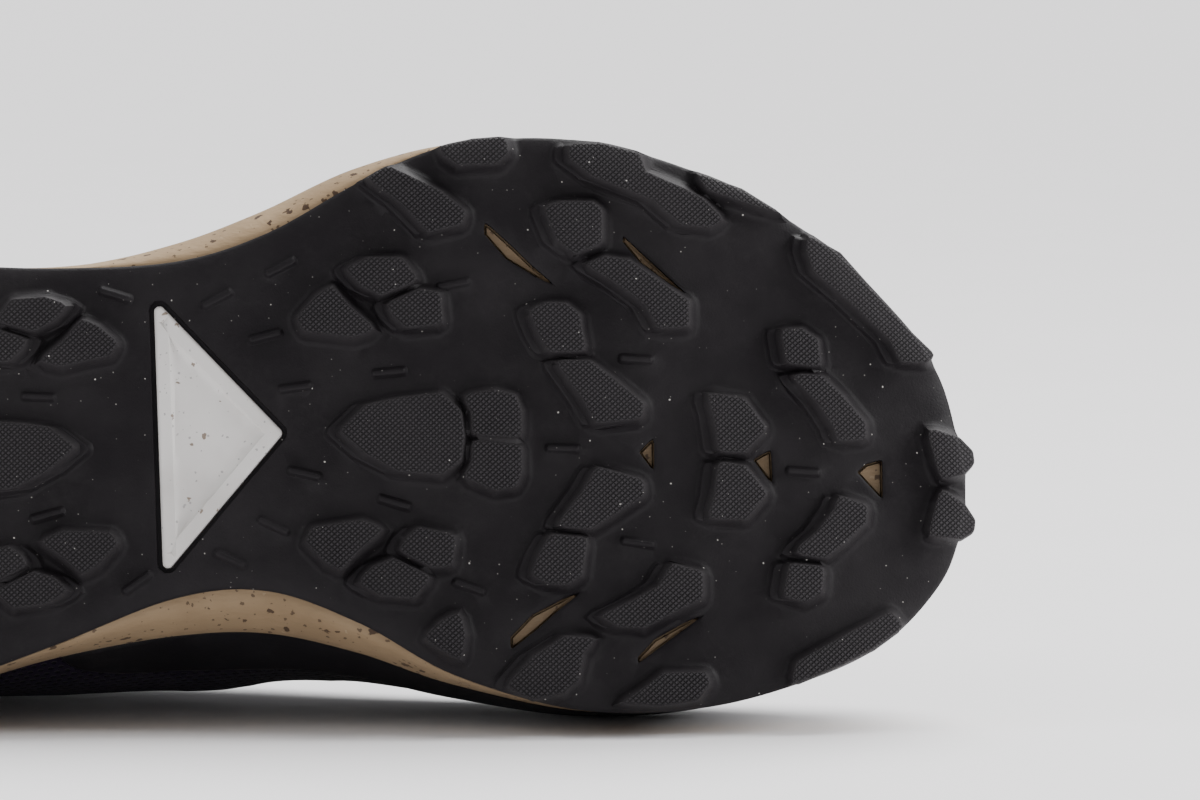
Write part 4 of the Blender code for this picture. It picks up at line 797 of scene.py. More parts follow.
def makeOutsole(material):
    features = treadFeatures()
    outerEdge = [treadOutline]
    for inset in tread["edgeRows"]:
        outerEdge.append([tuple(offsetEdge(at, -inset)) for at in stationPlaces(5)])
    windows = treadWindows + [plateLoop(plate["gap"])]
    groove = [plateLoop(plate["groove"]), plateLoop(plate["groove"] + plate["gap"])]
    loops = outerEdge + windows + groove + [growLoop(loop, tread["windowRoundWidth"]) for loop in treadWindows]
    for loop, profile, _, _ in features:
        loops += [growLoop(loop, distance) for distance, _ in profile]
    lugTops = [loop for loop, _, _, kind in features if kind == "lug"]

    def keepMask(points):
        kept = insideMany(points, treadOutline)
        for loop in lugTops:
            kept |= insideMany(points, loop)
        for loop in windows:
            kept &= ~insideMany(points, loop)
        return kept

    plan, faces = planMesh(loops, gridSpots(treadOutline, tread["gridSpacing"], 0.002), keepMask)
    relief, fromLug = treadRelief(plan, features)
    depth = -distanceMany(plan, treadOutline)
    roll = tread["edgeRoll"] * np.maximum(0, 1 - depth / tread["edgeRollWidth"]) ** 2
    roll += tread["edgeRound"] * np.clip(1 - depth / tread["edgeRoundWidth"], 0, 1) ** 2
    for loop in treadWindows:
        gap = np.abs(distanceMany(plan, loop))
        roll += tread["windowRound"] * np.clip(1 - gap / tread["windowRoundWidth"], 0, 1) ** 2
    wave = np.array([noise.noise(Vector((x * 90, y * 90, 3.0))) for x, y in plan]) * tread["waviness"]
    wave *= relief < 0.0002
    low = groundMany(plan[:, 0]) + shoe["lugHeight"] + roll - relief + wave
    sunk = distanceMany(plan, groove[0]) < 0.00002
    low[sunk] = groundMany(plan[sunk, 0]) + shoe["lugHeight"] + plate["grooveDepth"]
    marks = {"lugTop": np.clip(-fromLug / tread["topFade"] - 0.2, 0, 1),
             "lugRim": np.exp(-(fromLug / tread["rimFade"]) ** 2)}
    outsole = planSolid("treadSole", plan, faces, low, seatMany(plan[:, 0]), material, marks, 38)
    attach(outsole, "root")
    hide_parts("outsole")
    return outsole


def makePlate(material):
    outer = plateLoop(0.0)
    inner = [growLoop(outer, -inset) for inset in plate["edgeRows"]]
    field = plateLoop(-plate["border"])
    rimX = min(p[0] for p in outer) + plate["leftBorder"]
    fieldLoops = [field, growLoop(field, -plate["bevel"])]

    def keepMask(points):
        return insideMany(points, outer)

    plan, faces = planMesh([outer] + inner + fieldLoops, gridSpots(outer, plate["grid"], 0.0004), keepMask)
    depth = -distanceMany(plan, outer)
    inward = -distanceMany(plan, field)
    low = groundMany(plan[:, 0]) + shoe["lugHeight"] + plate["sink"]
    low += plate["round"] * np.clip(1 - depth / plate["roundWidth"], 0, 1) ** 2
    low += plate["field"] * np.clip(inward / plate["bevel"], 0, 1) * (plan[:, 0] > rimX)
    piece = planSolid("whitePlate", plan, faces, low, seatMany(plan[:, 0]), material, None, 32)
    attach(piece, "root")
    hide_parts("waist_plate")
    return piece


makeOutsole(rubberMaterial())
makePlate(plateMaterial())
print("tread: lugs, ledges, dashes and plate done")

foam = {
    "steps": 10, "stepDepth": 0.0008, "plugRise": 0.0005, "plugGap": 0.0002, "plugShade": 0.62, "rimShade": 0.40,
    "medialShade": 0.36,
    # side wall: share of the height, bulge and rim shares, depth of the recessed strip
    "levels": [(0.0, 0.10, 0.0, 0), (0.02, 0.30, 0.0, 0), (0.08, 0.52, 0.0, 0), (0.16, 0.68, 0.0, 0),
               (0.28, 0.88, 0.0, 0), (0.40, 1.00, 0.0, 0), (0.425, 1.00, 0.0, 0.1), (0.435, 0.99, 0.01, 0.8),
               (0.46, 0.96, 0.04, 1), (0.50, 0.91, 0.09, 1), (0.54, 0.86, 0.14, 1), (0.555, 0.84, 0.16, 0.7),
               (0.565, 0.82, 0.18, 0.1), (0.60, 0.77, 0.23, 0), (0.70, 0.60, 0.41, 0), (0.80, 0.42, 0.61, 0),
               (0.90, 0.22, 0.81, 0), (0.965, 0.09, 0.92, 0), (0.99, 0.03, 0.95, 0.25), (1.0, 0.0, 0.95, 0.9)],
    "ripple": 0.00018,
}


def makeMidsole(material, lining):
    ats = stationPlaces(foam["steps"])
    rings = []
    for rise, bulge, rimShare, step in foam["levels"]:
        ring = []
        for at in ats:
            place = foamEdge(at, bulge, rimShare, step * foam["stepDepth"])
            ripple = noise.noise(Vector((place.x * 45, place.y * 45, rise * 1.5))) * foam["ripple"]
            place = place + outwardAt(at) * ripple * math.sin(math.pi * rise)
            ring.append(Vector((place.x, place.y, blend(seatAt(place.x) + shoe["gap"], rimAt(place.x), rise))))
        rings.append(ring)
    for inset, drop in ((0.0018, 0.0), (shoe["rimWidth"] - 0.0012, 0.0), (shoe["rimWidth"] - 0.0003, 0.0004),
                        (shoe["rimWidth"], 0.0014), (shoe["rimWidth"], shoe["footbedDepth"])):
        places = [foamEdge(at, 0, 1, inset) for at in ats]
        rings.append([Vector((p.x, p.y, rimAt(p.x) - drop)) for p in places])
    points = [p for ring in rings for p in ring]
    count = len(ats)
    faces = []
    for row in range(len(rings) - 1):
        for i in range(count):
            j = (i + 1) % count
            faces.append((row * count + i, row * count + j, (row + 1) * count + j, (row + 1) * count + i))

    def addFill(ringStart, extraLoops, spots, heights, upward):  # closes a ring with a planned face
        ring = [tuple(points[ringStart + i])[:2] for i in range(count)]
        plan, planned = planMesh([ring] + extraLoops, spots, lambda p: insideMany(p, ring))
        lookup = {(round(p[0] * 1e6), round(p[1] * 1e6)): ringStart + i for i, p in enumerate(ring)}
        numbers = []
        for (x, y), z in zip(plan, heights(plan)):
            found = lookup.get((round(x * 1e6), round(y * 1e6)))
            if found is None:
                found = len(points)
                points.append(Vector((x, y, z)))
            numbers.append(found)
        for face in planned:
            a, b, c = [numbers[i] for i in face]
            faces.append((a, b, c) if upward else (c, b, a))

    plugs = [growLoop(loop, -foam["plugGap"]) for loop in treadWindows]
    plugTops = [growLoop(loop, -foam["plugGap"] - 0.0003) for loop in treadWindows]

    def undersideHeights(plan):
        heights = seatMany(plan[:, 0]) + shoe["gap"]
        for loop in plugTops:
            heights -= (foam["plugRise"] + shoe["gap"]) * (distanceMany(plan, loop) < 0.00002)
        return heights

    addFill(0, plugs + plugTops, gridSpots(treadOutline, 0.008, 0.004), undersideHeights, False)
    bedRing = [tuple(p)[:2] for p in rings[-1]]
    addFill((len(rings) - 1) * count, [], gridSpots(bedRing, 0.010, 0.004),
            lambda plan: np.array([rimAt(x) - shoe["footbedDepth"] for x in plan[:, 0]]), True)
    shaded = np.zeros(len(points))
    medial = np.array([smooth(outwardAt(at).y) for at in ats]) * foam["medialShade"]
    for row, level in enumerate(foam["levels"]):
        shaded[row * count:(row + 1) * count] = medial + foam["rimShade"] * smooth((level[0] - 0.70) / 0.12)
    plan, lows = np.array([tuple(p)[:2] for p in points]), np.array([p.z for p in points])
    under = lows < seatMany(plan[:, 0]) + shoe["gap"] * 1.5
    for loop in plugs:
        shaded[under & (distanceMany(plan, loop) < 0.00002)] = foam["plugShade"]
    sideRows = len(foam["levels"]) * count
    # lining over the inner rim, foam everywhere else
    slots = [int(min(face) >= sideRows and not under[list(face)].any()) for face in faces]
    piece = addPiece("foamMidsole", laid(points), faces, [material, lining], plan, {"shaded": shaded},
                     42, slots)
    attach(piece, "root")
    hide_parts("midsole")
    return piece


makeMidsole(foamMaterial(), insoleCloth)
print("midsole: foam with its step and plugs done")

upperSet = {
    "throatEnd": 0.209, "heelHeight": 0.064, "ankleHeight": 0.051, "instepHeight": 0.073, "vampHeight": 0.039,
    "collarWidth": 0.069, "throatWidth": 0.040, "axisHeel": 0.107, "axisThroat": 0.050,
    "wall": 0.0022, "collarPad": 0.0036, "bite": 0.0018, "clothLift": 0.0006, "collarPuff": 0.0013,
    "creaseDepth": 0.0005, "creaseAt": 0.200, "creaseRun": 0.013, "creasePitch": 0.0105,
    "steps": 8, "outerRows": 46, "innerRows": 24,
    # which height each row of topRows is a share of: up to which row
    "levelEnds": [("heelHeight", 4), ("ankleHeight", 7), ("instepHeight", 13), ("vampHeight", 18)],
}
# top edge of the upper at each station: along, half width, height, pad, swell, rise, lean, dip
topRows = [
    (0.050, 0.00, 1.00, 1.0, 0.036, 0.40, -0.30, 0.34), (0.056, 0.13, 1.00, 1.0, 0.036, 0.40, -0.25, 0.34),
    (0.084, 0.27, 0.98, 1.0, 0.034, 0.40, -0.10, 0.34), (0.160, 0.41, 0.92, 1.0, 0.030, 0.38, 0.00, 0.34),
    (0.276, 0.485, 1.02, 1.0, 0.026, 0.38, 0.10, 0.34), (0.390, 0.490, 1.02, 1.0, 0.024, 0.38, 0.22, 0.32),
    (0.480, 0.435, 1.22, 0.5, 0.024, 0.42, 0.38, 0.26), (0.552, 0.590, 0.97, 0.0, 0.026, 0.45, 0.50, 0.18),
    (0.612, 0.510, 0.95, 0.0, 0.027, 0.48, 0.54, 0.15), (0.680, 0.460, 0.90, 0.0, 0.027, 0.52, 0.56, 0.13),
    (0.745, 0.420, 0.83, 0.0, 0.026, 0.56, 0.57, 0.12), (0.818, 0.375, 0.74, 0.0, 0.025, 0.60, 0.57, 0.12),
    (0.885, 0.325, 0.665, 0.0, 0.023, 0.66, 0.56, 0.11), (0.938, 0.265, 1.13, 0.0, 0.021, 0.74, 0.56, 0.09),
    (0.971, 0.190, 1.064, 0.0, 0.019, 0.82, 0.56, 0.08), (0.990, 0.115, 1.026, 0.0, 0.018, 0.88, 0.56, 0.07),
    (0.998, 0.050, 1.008, 0.0, 0.018, 0.92, 0.56, 0.06), (1.000, 0.00, 1.00, 0.0, 0.018, 0.94, 0.56, 0.06),
]


def topColumns():
    columns = []
    for index, row in enumerate(topRows):
        width = upperSet["collarWidth"] if index < 7 else upperSet["throatWidth"]
        level = next(name for name, end in upperSet["levelEnds"] if index < end)
        x = row[0] * upperSet["throatEnd"]
        middle = blend(upperSet["axisHeel"], upperSet["axisThroat"], row[0]) * shoe["ballWidth"]
        half = row[1] * width
        columns.append((x, middle - half, middle + half, rimAt(x) + row[2] * upperSet[level]))
    return [bothSides([c[a] for c in columns], [c[b] for c in columns]) for a, b in ((0, 0), (1, 2), (3, 3))]


topX, topY, topZ = topColumns()
padRow, swellRow, riseRow, leanRow, dipRow = [
    bothSides([row[key] for row in topRows], [row[key] for row in topRows]) for key in (3, 4, 5, 6, 7)]
# the medial side hangs out over the narrow waist
waistSwell = [(0.26, 0.000), (0.32, 0.045), (0.40, 0.140), (0.48, 0.215), (0.54, 0.210), (0.60, 0.135), (0.66, 0.045),
              (0.72, 0.000)]
swellRow = bothSides([row[4] for row in topRows],
                     [row[4] + through(waistSwell, edge[0]) for row, edge in zip(topRows, outlineRows)])
wallCurves = {}


def wallCurve(at):  # four control points of the upper's wall at one place round the shoe
    key = round(at % around, 4)
    if key not in wallCurves:
        foot = foamEdge(at, 0, 1, upperSet["bite"])
        start = Vector((foot.x, foot.y, rimAt(foot.x) + shoe["gap"]))
        end = Vector((spline(topX, at), spline(topY, at), spline(topZ, at)))
        height = end.z - start.z
        out = outwardAt(at)
        first = start + Vector((out.x, out.y, 0)) * spline(swellRow, at) * shoe["ballWidth"]
        first.z += spline(riseRow, at) * height
        second = end + Vector((start.x - end.x, start.y - end.y, 0)) * spline(leanRow, at)
        second.z -= spline(dipRow, at) * height
        wallCurves[key] = [tuple(p) for p in (start, first, second, end)]
    return wallCurves[key]


def wallPoints(ats, shares):  # the upper's outer face; share 0 at the foam, 1 at the top edge
    curves = np.array([wallCurve(at) for at in ats])
    share = np.asarray(shares, float)[..., None]
    rest = 1 - share
    return (curves[:, 0] * rest ** 3 + curves[:, 1] * 3 * rest ** 2 * share
            + curves[:, 2] * 3 * rest * share ** 2 + curves[:, 3] * share ** 3)


def wallNormals(ats, shares):
    ats, shares = np.asarray(ats, float), np.asarray(shares, float)
    up = wallPoints(ats, np.minimum(shares + 0.02, 1)) - wallPoints(ats, np.maximum(shares - 0.02, 0))
    along = wallPoints(ats + 0.1, shares) - wallPoints(ats - 0.1, shares)
    normals = np.cross(along, up)
    return unit(normals)


def wallThickness(ats, shares):
    pad = np.array([spline(padRow, at) for at in ats])
    ease = np.clip((np.asarray(shares, float) - 0.45) / 0.50, 0, 1)
    return upperSet["wall"] + upperSet["collarPad"] * pad * ease * ease * (3 - 2 * ease)


def wallLengths(ats):
    steps = wallPoints(ats, np.linspace(0, 1, 25)[:, None])
    return np.linalg.norm(np.diff(steps, axis=0), axis=-1).sum(axis=0)


def clothLift(ats, shares):  # puffed collar and flex creases over the plain wall
    points = wallPoints(ats, shares)
    pad = np.array([spline(padRow, at) for at in ats])
    puff = upperSet["collarPuff"] * pad * np.sin(np.pi * np.clip((shares - 0.70) / 0.34, 0, 1)) ** 2
    bend = np.exp(-((points[..., 0] - upperSet["creaseAt"]) / upperSet["creaseRun"]) ** 2)
    bend *= np.clip((shares - 0.30) / 0.30, 0, 1) * np.clip((0.99 - shares) / 0.12, 0, 1)
    wander = np.array([[noise.noise(Vector((p[0] * 30, p[1] * 55, p[2] * 30))) for p in row] for row in points])
    crease = np.sin(points[..., 0] / upperSet["creasePitch"] * 2 * np.pi + wander * 3.5)
    return upperSet["clothLift"] * np.clip(shares / 0.04, 0, 1) + puff + upperSet["creaseDepth"] * bend * crease


def makeUpper(cloth, lining):
    ats = np.array(stationPlaces(upperSet["steps"]))
    outer = np.repeat(np.linspace(0, 1, upperSet["outerRows"])[:, None], len(ats), axis=1)
    face = wallPoints(ats, outer) + wallNormals(ats, outer) * clothLift(ats, outer)[..., None]
    topShares = np.ones((1, len(ats)))
    top, normal = face[-1], wallNormals(ats, topShares)[0]
    thick = wallThickness(ats, topShares)[0][:, None]
    crest = unit(wallPoints(ats, topShares)[0] - wallPoints(ats, topShares - 0.03)[0])
    height = np.minimum(thick * 0.5, 0.0021)
    rolled = []
    for degrees in (22, 45, 68, 90, 112, 135, 158):
        angle = math.radians(degrees)
        rolled.append(top - normal * thick * 0.5 * (1 - math.cos(angle)) + crest * height * math.sin(angle))
    inner = np.repeat(np.linspace(1, 0, upperSet["innerRows"])[:, None], len(ats), axis=1)
    lined = wallPoints(ats, inner) - wallNormals(ats, inner) * wallThickness(ats, inner)[..., None]
    outwards = np.array([tuple(outwardAt(at)) + (0.0,) for at in ats])
    lined[-1] = face[0] - outwards * upperSet["wall"]
    lined[-1][:, 2] = [rimAt(x) + shoe["gap"] for x in lined[-1][:, 0]]
    rings = np.concatenate([face, np.array(rolled), lined])
    middle = wallPoints(ats, np.full((1, len(ats)), 0.4))[0]
    runs = np.linalg.norm(np.roll(middle, -1, axis=0) - middle, axis=1)
    across = np.concatenate([[0], np.cumsum(runs)[:-1]])
    climbs = np.linalg.norm(np.diff(rings, axis=0), axis=-1)
    upward = np.concatenate([np.zeros((1, len(ats))), np.cumsum(climbs, axis=0)])
    uv = [[(u, v) for u, v in zip(across, row)] for row in upward]
    along = rings[..., 0] / shoe["length"]
    shares = np.concatenate([outer, np.ones((len(rolled), len(ats))), inner])
    zone = np.clip((0.58 - along) / 0.10, 0, 1) * np.clip((0.66 - shares) / 0.16, 0, 1)
    zone[len(outer):] = 0
    slots = [0] * (len(outer) + 3) + [1] * (len(rings) - len(outer) - 3)
    upper = ringsPiece("clothUpper", rings, [cloth, lining], uv, {"dye": zone.ravel()}, 60, slots,
                       float(runs.sum()))
    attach(upper, "root")
    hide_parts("upper")
    return upper


overlaySet = {
    "under": 0.0005, "over": 0.0019, "edge": 0.0011, "endRun": 0.55, "rows": 12, "steps": 8,
    "head": 0.985, "foot": 0.012,
    # station and share of the wall's height that each band reaches up to, or starts from
    "toeCap": [(6.0, 0.11), (8.0, 0.13), (11.0, 0.16), (13.0, 0.24), (14.5, 0.34), (17.0, 0.40),
               (19.5, 0.34), (21.0, 0.24), (23.0, 0.16), (26.0, 0.14), (28.0, 0.12)],
    "heelCounter": [(-5.5, 0.16), (-4.0, 0.32), (-2.0, 0.54), (0.0, 0.62), (2.0, 0.54), (4.0, 0.32), (5.5, 0.16)],
    "eyestay": [(6.6, 0.80), (8.0, 0.76), (11.0, 0.80), (14.0, 0.86), (17.0, 0.88), (20.0, 0.86), (23.0, 0.80),
                (26.0, 0.76), (27.4, 0.80)],
}


def rounded(rows, at):  # the rows' value, with its corners rounded off
    return sum(through(rows, at + shift) for shift in (-0.5, -0.25, 0, 0.25, 0.5)) / 5


def bandEdges(rows, fromFoot, ats):
    first, last = rows[0][0], rows[-1][0]
    ends = np.clip(np.minimum(ats - first, last - ats) / overlaySet["endRun"], 0, 1)
    open01 = np.sqrt(np.clip(1 - (1 - ends) ** 2, 0, 1)) * 0.94 + 0.06
    reach = np.array([rounded(rows, at) for at in ats])
    if fromFoot:
        low = np.full(len(ats), overlaySet["foot"])
        return low, low + (reach - low) * open01
    high = np.full(len(ats), overlaySet["head"])
    return high - (high - reach) * open01, high


def bandPlaces(rows):
    first, last = rows[0][0], rows[-1][0]
    ease = [overlaySet["endRun"] * (1 - math.cos(math.radians(step * 9))) for step in range(10)]
    endRun = overlaySet["endRun"]
    inner = np.arange(first + endRun + 0.1, last - endRun - 0.05, 1 / overlaySet["steps"])
    return np.array([first + e for e in ease] + list(inner) + [last - e for e in ease[::-1]])


def makeOverlay(name, node, rows, fromFoot, material):
    ats = bandPlaces(rows)
    low, high = bandEdges(rows, fromFoot, ats)
    edge = np.minimum(overlaySet["edge"] / wallLengths(ats), (high - low) * 0.4)
    under, over = overlaySet["under"], overlaySet["over"]
    rounding = []
    for degrees in (0, 25, 50, 75):
        angle = math.radians(degrees)
        rounding.append((edge * (1 - math.cos(angle)), blend(under, over, 0.35 + 0.65 * math.sin(angle))))
    section = [(low, under)] + [(low + inset, lift) for inset, lift in rounding]
    for row in range(overlaySet["rows"] + 1):
        section.append((low + edge + (high - low - 2 * edge) * row / overlaySet["rows"], over))
    section += [(high - inset, lift) for inset, lift in rounding[::-1]] + [(high, under)]
    for row in range(1, 4):
        section.append((blend(high, low, row / 4), under - 0.0002))
    shares = np.array([row[0] for row in section])
    lifts = np.array([row[1] for row in section])[:, None, None]
    crease = clothLift(ats, shares) - upperSet["clothLift"] * np.clip(shares / 0.04, 0, 1)
    places = wallPoints(ats, shares) + wallNormals(ats, shares) * (lifts + crease[..., None])
    runs = runLengths(places[4])
    climbs = shares * wallLengths(ats)
    uv = [[(u, v) for u, v in zip(runs, row)] for row in climbs]
    piece = bandPiece(name, places, [material], uv, 50)
    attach(piece, "root")
    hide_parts(node)
    return piece


def bandPiece(name, places, materials, uvRows, sharp):  # a closed section run along an open way, with caps
    around01, count = len(places), len(places[0])
    faces = []
    for row in range(around01):
        above = (row + 1) % around01
        for i in range(count - 1):
            faces.append((row * count + i, row * count + i + 1, above * count + i + 1, above * count + i))
    faces.append([row * count for row in range(around01)])
    faces.append([row * count + count - 1 for row in range(around01)][::-1])
    points = [p for row in places for p in row]
    uv = [p for row in uvRows for p in row]
    return addPiece(name, laid(points), faces, materials, uv, None, sharp)


def refine(points, steps):  # Catmull-Rom through the first axis
    ends = [2 * points[0] - points[1]] + list(points) + [2 * points[-1] - points[-2]]
    finer = []
    for p0, p1, p2, p3 in zip(ends, ends[1:], ends[2:], ends[3:]):
        for step in range(steps):
            share = step / steps
            finer.append(0.5 * (2 * p1 + (p2 - p0) * share + (2 * p0 - 5 * p1 + 4 * p2 - p3) * share ** 2
                                + (3 * p1 - p0 - 3 * p2 + p3) * share ** 3))
    return np.array(finer + [points[-1]])


tongueSet = {
    "stations": [7.15, 8.0, 9.0, 10.0, 11.0, 12.0, 13.0, 14.0, 15.0], "sides": [0.88, 0.94, 1.0],
    "end": [(14.4, 0.91), (15.2, 0.90), (16.1, 0.89), (17.0, 0.88), (17.9, 0.89), (18.8, 0.90), (19.6, 0.91)],
    "clearance": 0.0014, "endClearance": 0.0022, "crown": 0.0022, "crownRun": 3.0, "rise": 0.024,
    "narrowing": 0.80, "thickness": 0.0038, "sideTaper": 0.55, "alongSteps": 6, "acrossSteps": 5,
    "puff": 0.0005, "channelPitch": 0.0085,
}


def underWall(at, share, clearance):
    depth = wallThickness([at], [[share]])[0][0] + clearance
    return wallPoints([at], [[share]])[0][0] - wallNormals([at], [[share]])[0][0] * depth


def tongueSections():
    sections = []
    for at in tongueSet["stations"]:
        lateral = [underWall(at, share, tongueSet["clearance"]) for share in tongueSet["sides"]]
        medial = [underWall(around - at, share, tongueSet["clearance"]) for share in tongueSet["sides"][::-1]]
        crown = tongueSet["crown"] * min(1.0, (tongueSet["stations"][-1] - at) / tongueSet["crownRun"])
        middle = (lateral[-1] + medial[0]) / 2 + np.array((0, 0, crown))
        sections.append(lateral + [middle] + medial)
    sections.append([underWall(at, share, tongueSet["endClearance"]) for at, share in tongueSet["end"]])
    back = Vector(sections[0][3] - sections[1][3]).normalized()
    rise = np.array((back + Vector((0, 0, 0.5))).normalized() * tongueSet["rise"])
    opening, middle = list(sections[0]), sections[0][3]
    for share in (0.5, 1.0):
        squeeze = 1 - (1 - tongueSet["narrowing"]) * min(1.0, share * 2)
        sections.insert(0, [middle + (p - middle) * (1, squeeze, squeeze) + rise * share for p in opening])
    return np.array(sections)


def makeTongue(cloth):
    sections = refine(tongueSections(), tongueSet["alongSteps"])
    top = refine(sections.transpose(1, 0, 2), tongueSet["acrossSteps"]).transpose(1, 0, 2)
    middle = top[:, top.shape[1] // 2]
    run = np.gradient(middle, axis=0)
    run[:, 1] = 0
    run = unit(run)
    normal = np.stack([-run[:, 2], 0 * run[:, 0], run[:, 0]], axis=1)
    lengths = runLengths(middle)
    spread = np.linspace(-1, 1, top.shape[1])
    thin = blend(tongueSet["sideTaper"], 1.0, np.clip((1 - np.abs(spread)) / 0.25, 0, 1))
    bulge = tongueSet["puff"] * (1 - spread ** 2) * 0.8
    loops = []
    for tip in (86, 65, 40, 18):  # the flap's end rounds off
        angle = math.radians(tip)
        away = (middle[0] - middle[1]) / np.linalg.norm(middle[0] - middle[1]) * 0.0018 * math.sin(angle)
        shrunk = top[0] - normal[0] * tongueSet["thickness"] * 0.5 * (1 - math.cos(angle))
        narrowed = middle[0] + (shrunk - middle[0]) * (1, 1 - 0.10 * math.sin(angle), 1) + away
        loops.append((narrowed, normal[0], math.cos(angle), 0.0, -0.002 * math.sin(angle)))
    for row in range(len(top)):
        loops.append((top[row], normal[row], 1.0, 1.0, lengths[row]))
    upperSide, uvRows = [], []
    for face, way, thickness, puffed, length in loops:
        channel = np.abs(np.sin(math.pi * length / tongueSet["channelPitch"])) ** 0.4
        shown = face + way * (bulge * puffed * channel)[:, None]
        below = face - way * (tongueSet["thickness"] * thin * thickness)[:, None]
        sideA = (shown[0] + below[0]) / 2 - np.array((0, 0.0007 * thickness, 0))
        sideB = (shown[-1] + below[-1]) / 2 + np.array((0, 0.0007 * thickness, 0))
        upperSide.append(np.concatenate([shown, [sideB], below[::-1], [sideA]]))
        width = np.linspace(0, 0.055, len(shown))
        uvRows.append([(w, length) for w in np.concatenate([width, [0.0560], width[::-1], [-0.001]])])
    places = np.array(upperSide).transpose(1, 0, 2)
    uv = [list(row) for row in np.array(uvRows).transpose(1, 0, 2)]
    tongue = bandPiece("paddedTongue", places, [cloth], uv, 60)
    tongue.data.flip_normals()
    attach(tongue, "root")
    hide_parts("tongue")
    return tongue


insoleSet = {"clear": 0.0006, "thickness": 0.0044, "cup": 0.0012, "cupRun": 0.009, "round": 0.0005, "grid": 0.006,
             "edgeRows": (0.0003, 0.0008), "roundWidth": 0.0008}


def makeInsole(cloth):
    loop = [tuple(foamEdge(at, 0, 1, shoe["rimWidth"] + insoleSet["clear"])) for at in stationPlaces(5)]
    loops = [loop] + [growLoop(loop, -inset) for inset in insoleSet["edgeRows"]]
    plan, faces = planMesh(loops, gridSpots(loop, insoleSet["grid"], 0.0015), lambda p: insideMany(p, loop))
    depth = -distanceMany(plan, loop)
    bed = np.array([rimAt(x) - shoe["footbedDepth"] + shoe["gap"] for x in plan[:, 0]])
    top = bed + insoleSet["thickness"] + insoleSet["cup"] * np.clip(1 - depth / insoleSet["cupRun"], 0, 1) ** 2
    top -= insoleSet["round"] * np.clip(1 - depth / insoleSet["roundWidth"], 0, 1) ** 2
    insole = planSolid("padInsole", plan, faces, bed, top, cloth, None, 45)
    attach(insole, "root")
    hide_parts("insole")
    return insole


makeUpper(upperCloth, liningCloth)
makeTongue(tongueCloth)
makeInsole(insoleCloth)
makeOverlay("toeCapFilm", "toe_cap", overlaySet["toeCap"], True, film)
makeOverlay("heelCounterFilm", "heel_counter", overlaySet["heelCounter"], True, film)
makeOverlay("eyestayFilm", "eyestay", overlaySet["eyestay"], False, film)
print("upper: cloth, tongue, insole and overlays done")

laceSet = {
    "stations": [7.4, 8.7, 9.9, 11.0, 12.0], "hole": 0.905, "width": 0.0060, "thickness": 0.0013,
    "overEyestay": 0.0030, "underEdge": 0.0006, "clear": 0.0009, "cross": 0.0014, "steps": 5,
    "sides": 12, "endRun": 0.004, "endWidth": 0.62,
}


def wallSpot(at, share, lift):  # a point over the wall and the way that it faces
    normal = wallNormals([at], [[share]])[0][0]
    return wallPoints([at], [[share]])[0][0] + normal * lift, normal


def sideStation(at, side):
    return at if side < 0 else around - at


def ribbon(route, facings):  # a flat braided cord through the route's points
    path = refine(np.array(route), laceSet["steps"])
    faceWay = refine(np.array(facings), laceSet["steps"])
    run = unit(np.gradient(path, axis=0))
    side = unit(np.cross(faceWay, run))
    up = np.cross(run, side)
    lengths = runLengths(path)
    ends = np.clip(np.minimum(lengths, lengths[-1] - lengths) / laceSet["endRun"], 0, 1)
    rows, uvRows = [], []
    for step in range(laceSet["sides"]):
        angle = 2 * math.pi * step / laceSet["sides"]
        across = math.copysign(abs(math.cos(angle)) ** 0.7, math.cos(angle)) * laceSet["width"] / 2
        high = math.copysign(abs(math.sin(angle)) ** 0.7, math.sin(angle)) * laceSet["thickness"] / 2
        widths = across * blend(laceSet["endWidth"], 1.0, ends)
        rows.append(path + side * widths[:, None] + up * high)
        uvRows.append([(across + 0.006 * (math.sin(angle) < 0), length) for length in lengths])
    return np.array(rows), uvRows


def laceRoute(at, side, nextAt, over):  # out of one eyelet, over the tongue and under the far edge
    near, far = sideStation(at, side), sideStation(nextAt, -side)
    route = []
    for share, lift in ((laceSet["hole"], 0.0006), (laceSet["hole"] + 0.018, laceSet["overEyestay"]),
                        (0.972, laceSet["overEyestay"] - 0.0004)):
        route.append(wallSpot(near, share, lift))
    thick = wallThickness([far], [[1.0]])[0][0]
    endSpots = [wallSpot(far, share, -thick - laceSet["underEdge"]) for share in (0.995, 0.945)]
    start, stop = route[-1][0], endSpots[0][0]
    middleAt = (at + nextAt) / 2
    crest = (wallSpot(middleAt, 1.0, -upperSet["wall"] - tongueSet["clearance"])[0]
             + wallSpot(around - middleAt, 1.0, -upperSet["wall"] - tongueSet["clearance"])[0]) / 2
    up = route[-1][1] + endSpots[0][1]
    up = up / np.linalg.norm(up)
    need = (crest - (start + stop) / 2).dot(up) + tongueSet["crown"] + tongueSet["puff"] + laceSet["clear"]
    need += laceSet["cross"] * over
    for share in (0.25, 0.5, 0.75):
        bump = need * (1 - (2 * share - 1) ** 2)
        route.append((start + (stop - start) * share + up * bump, up))
    return route + endSpots


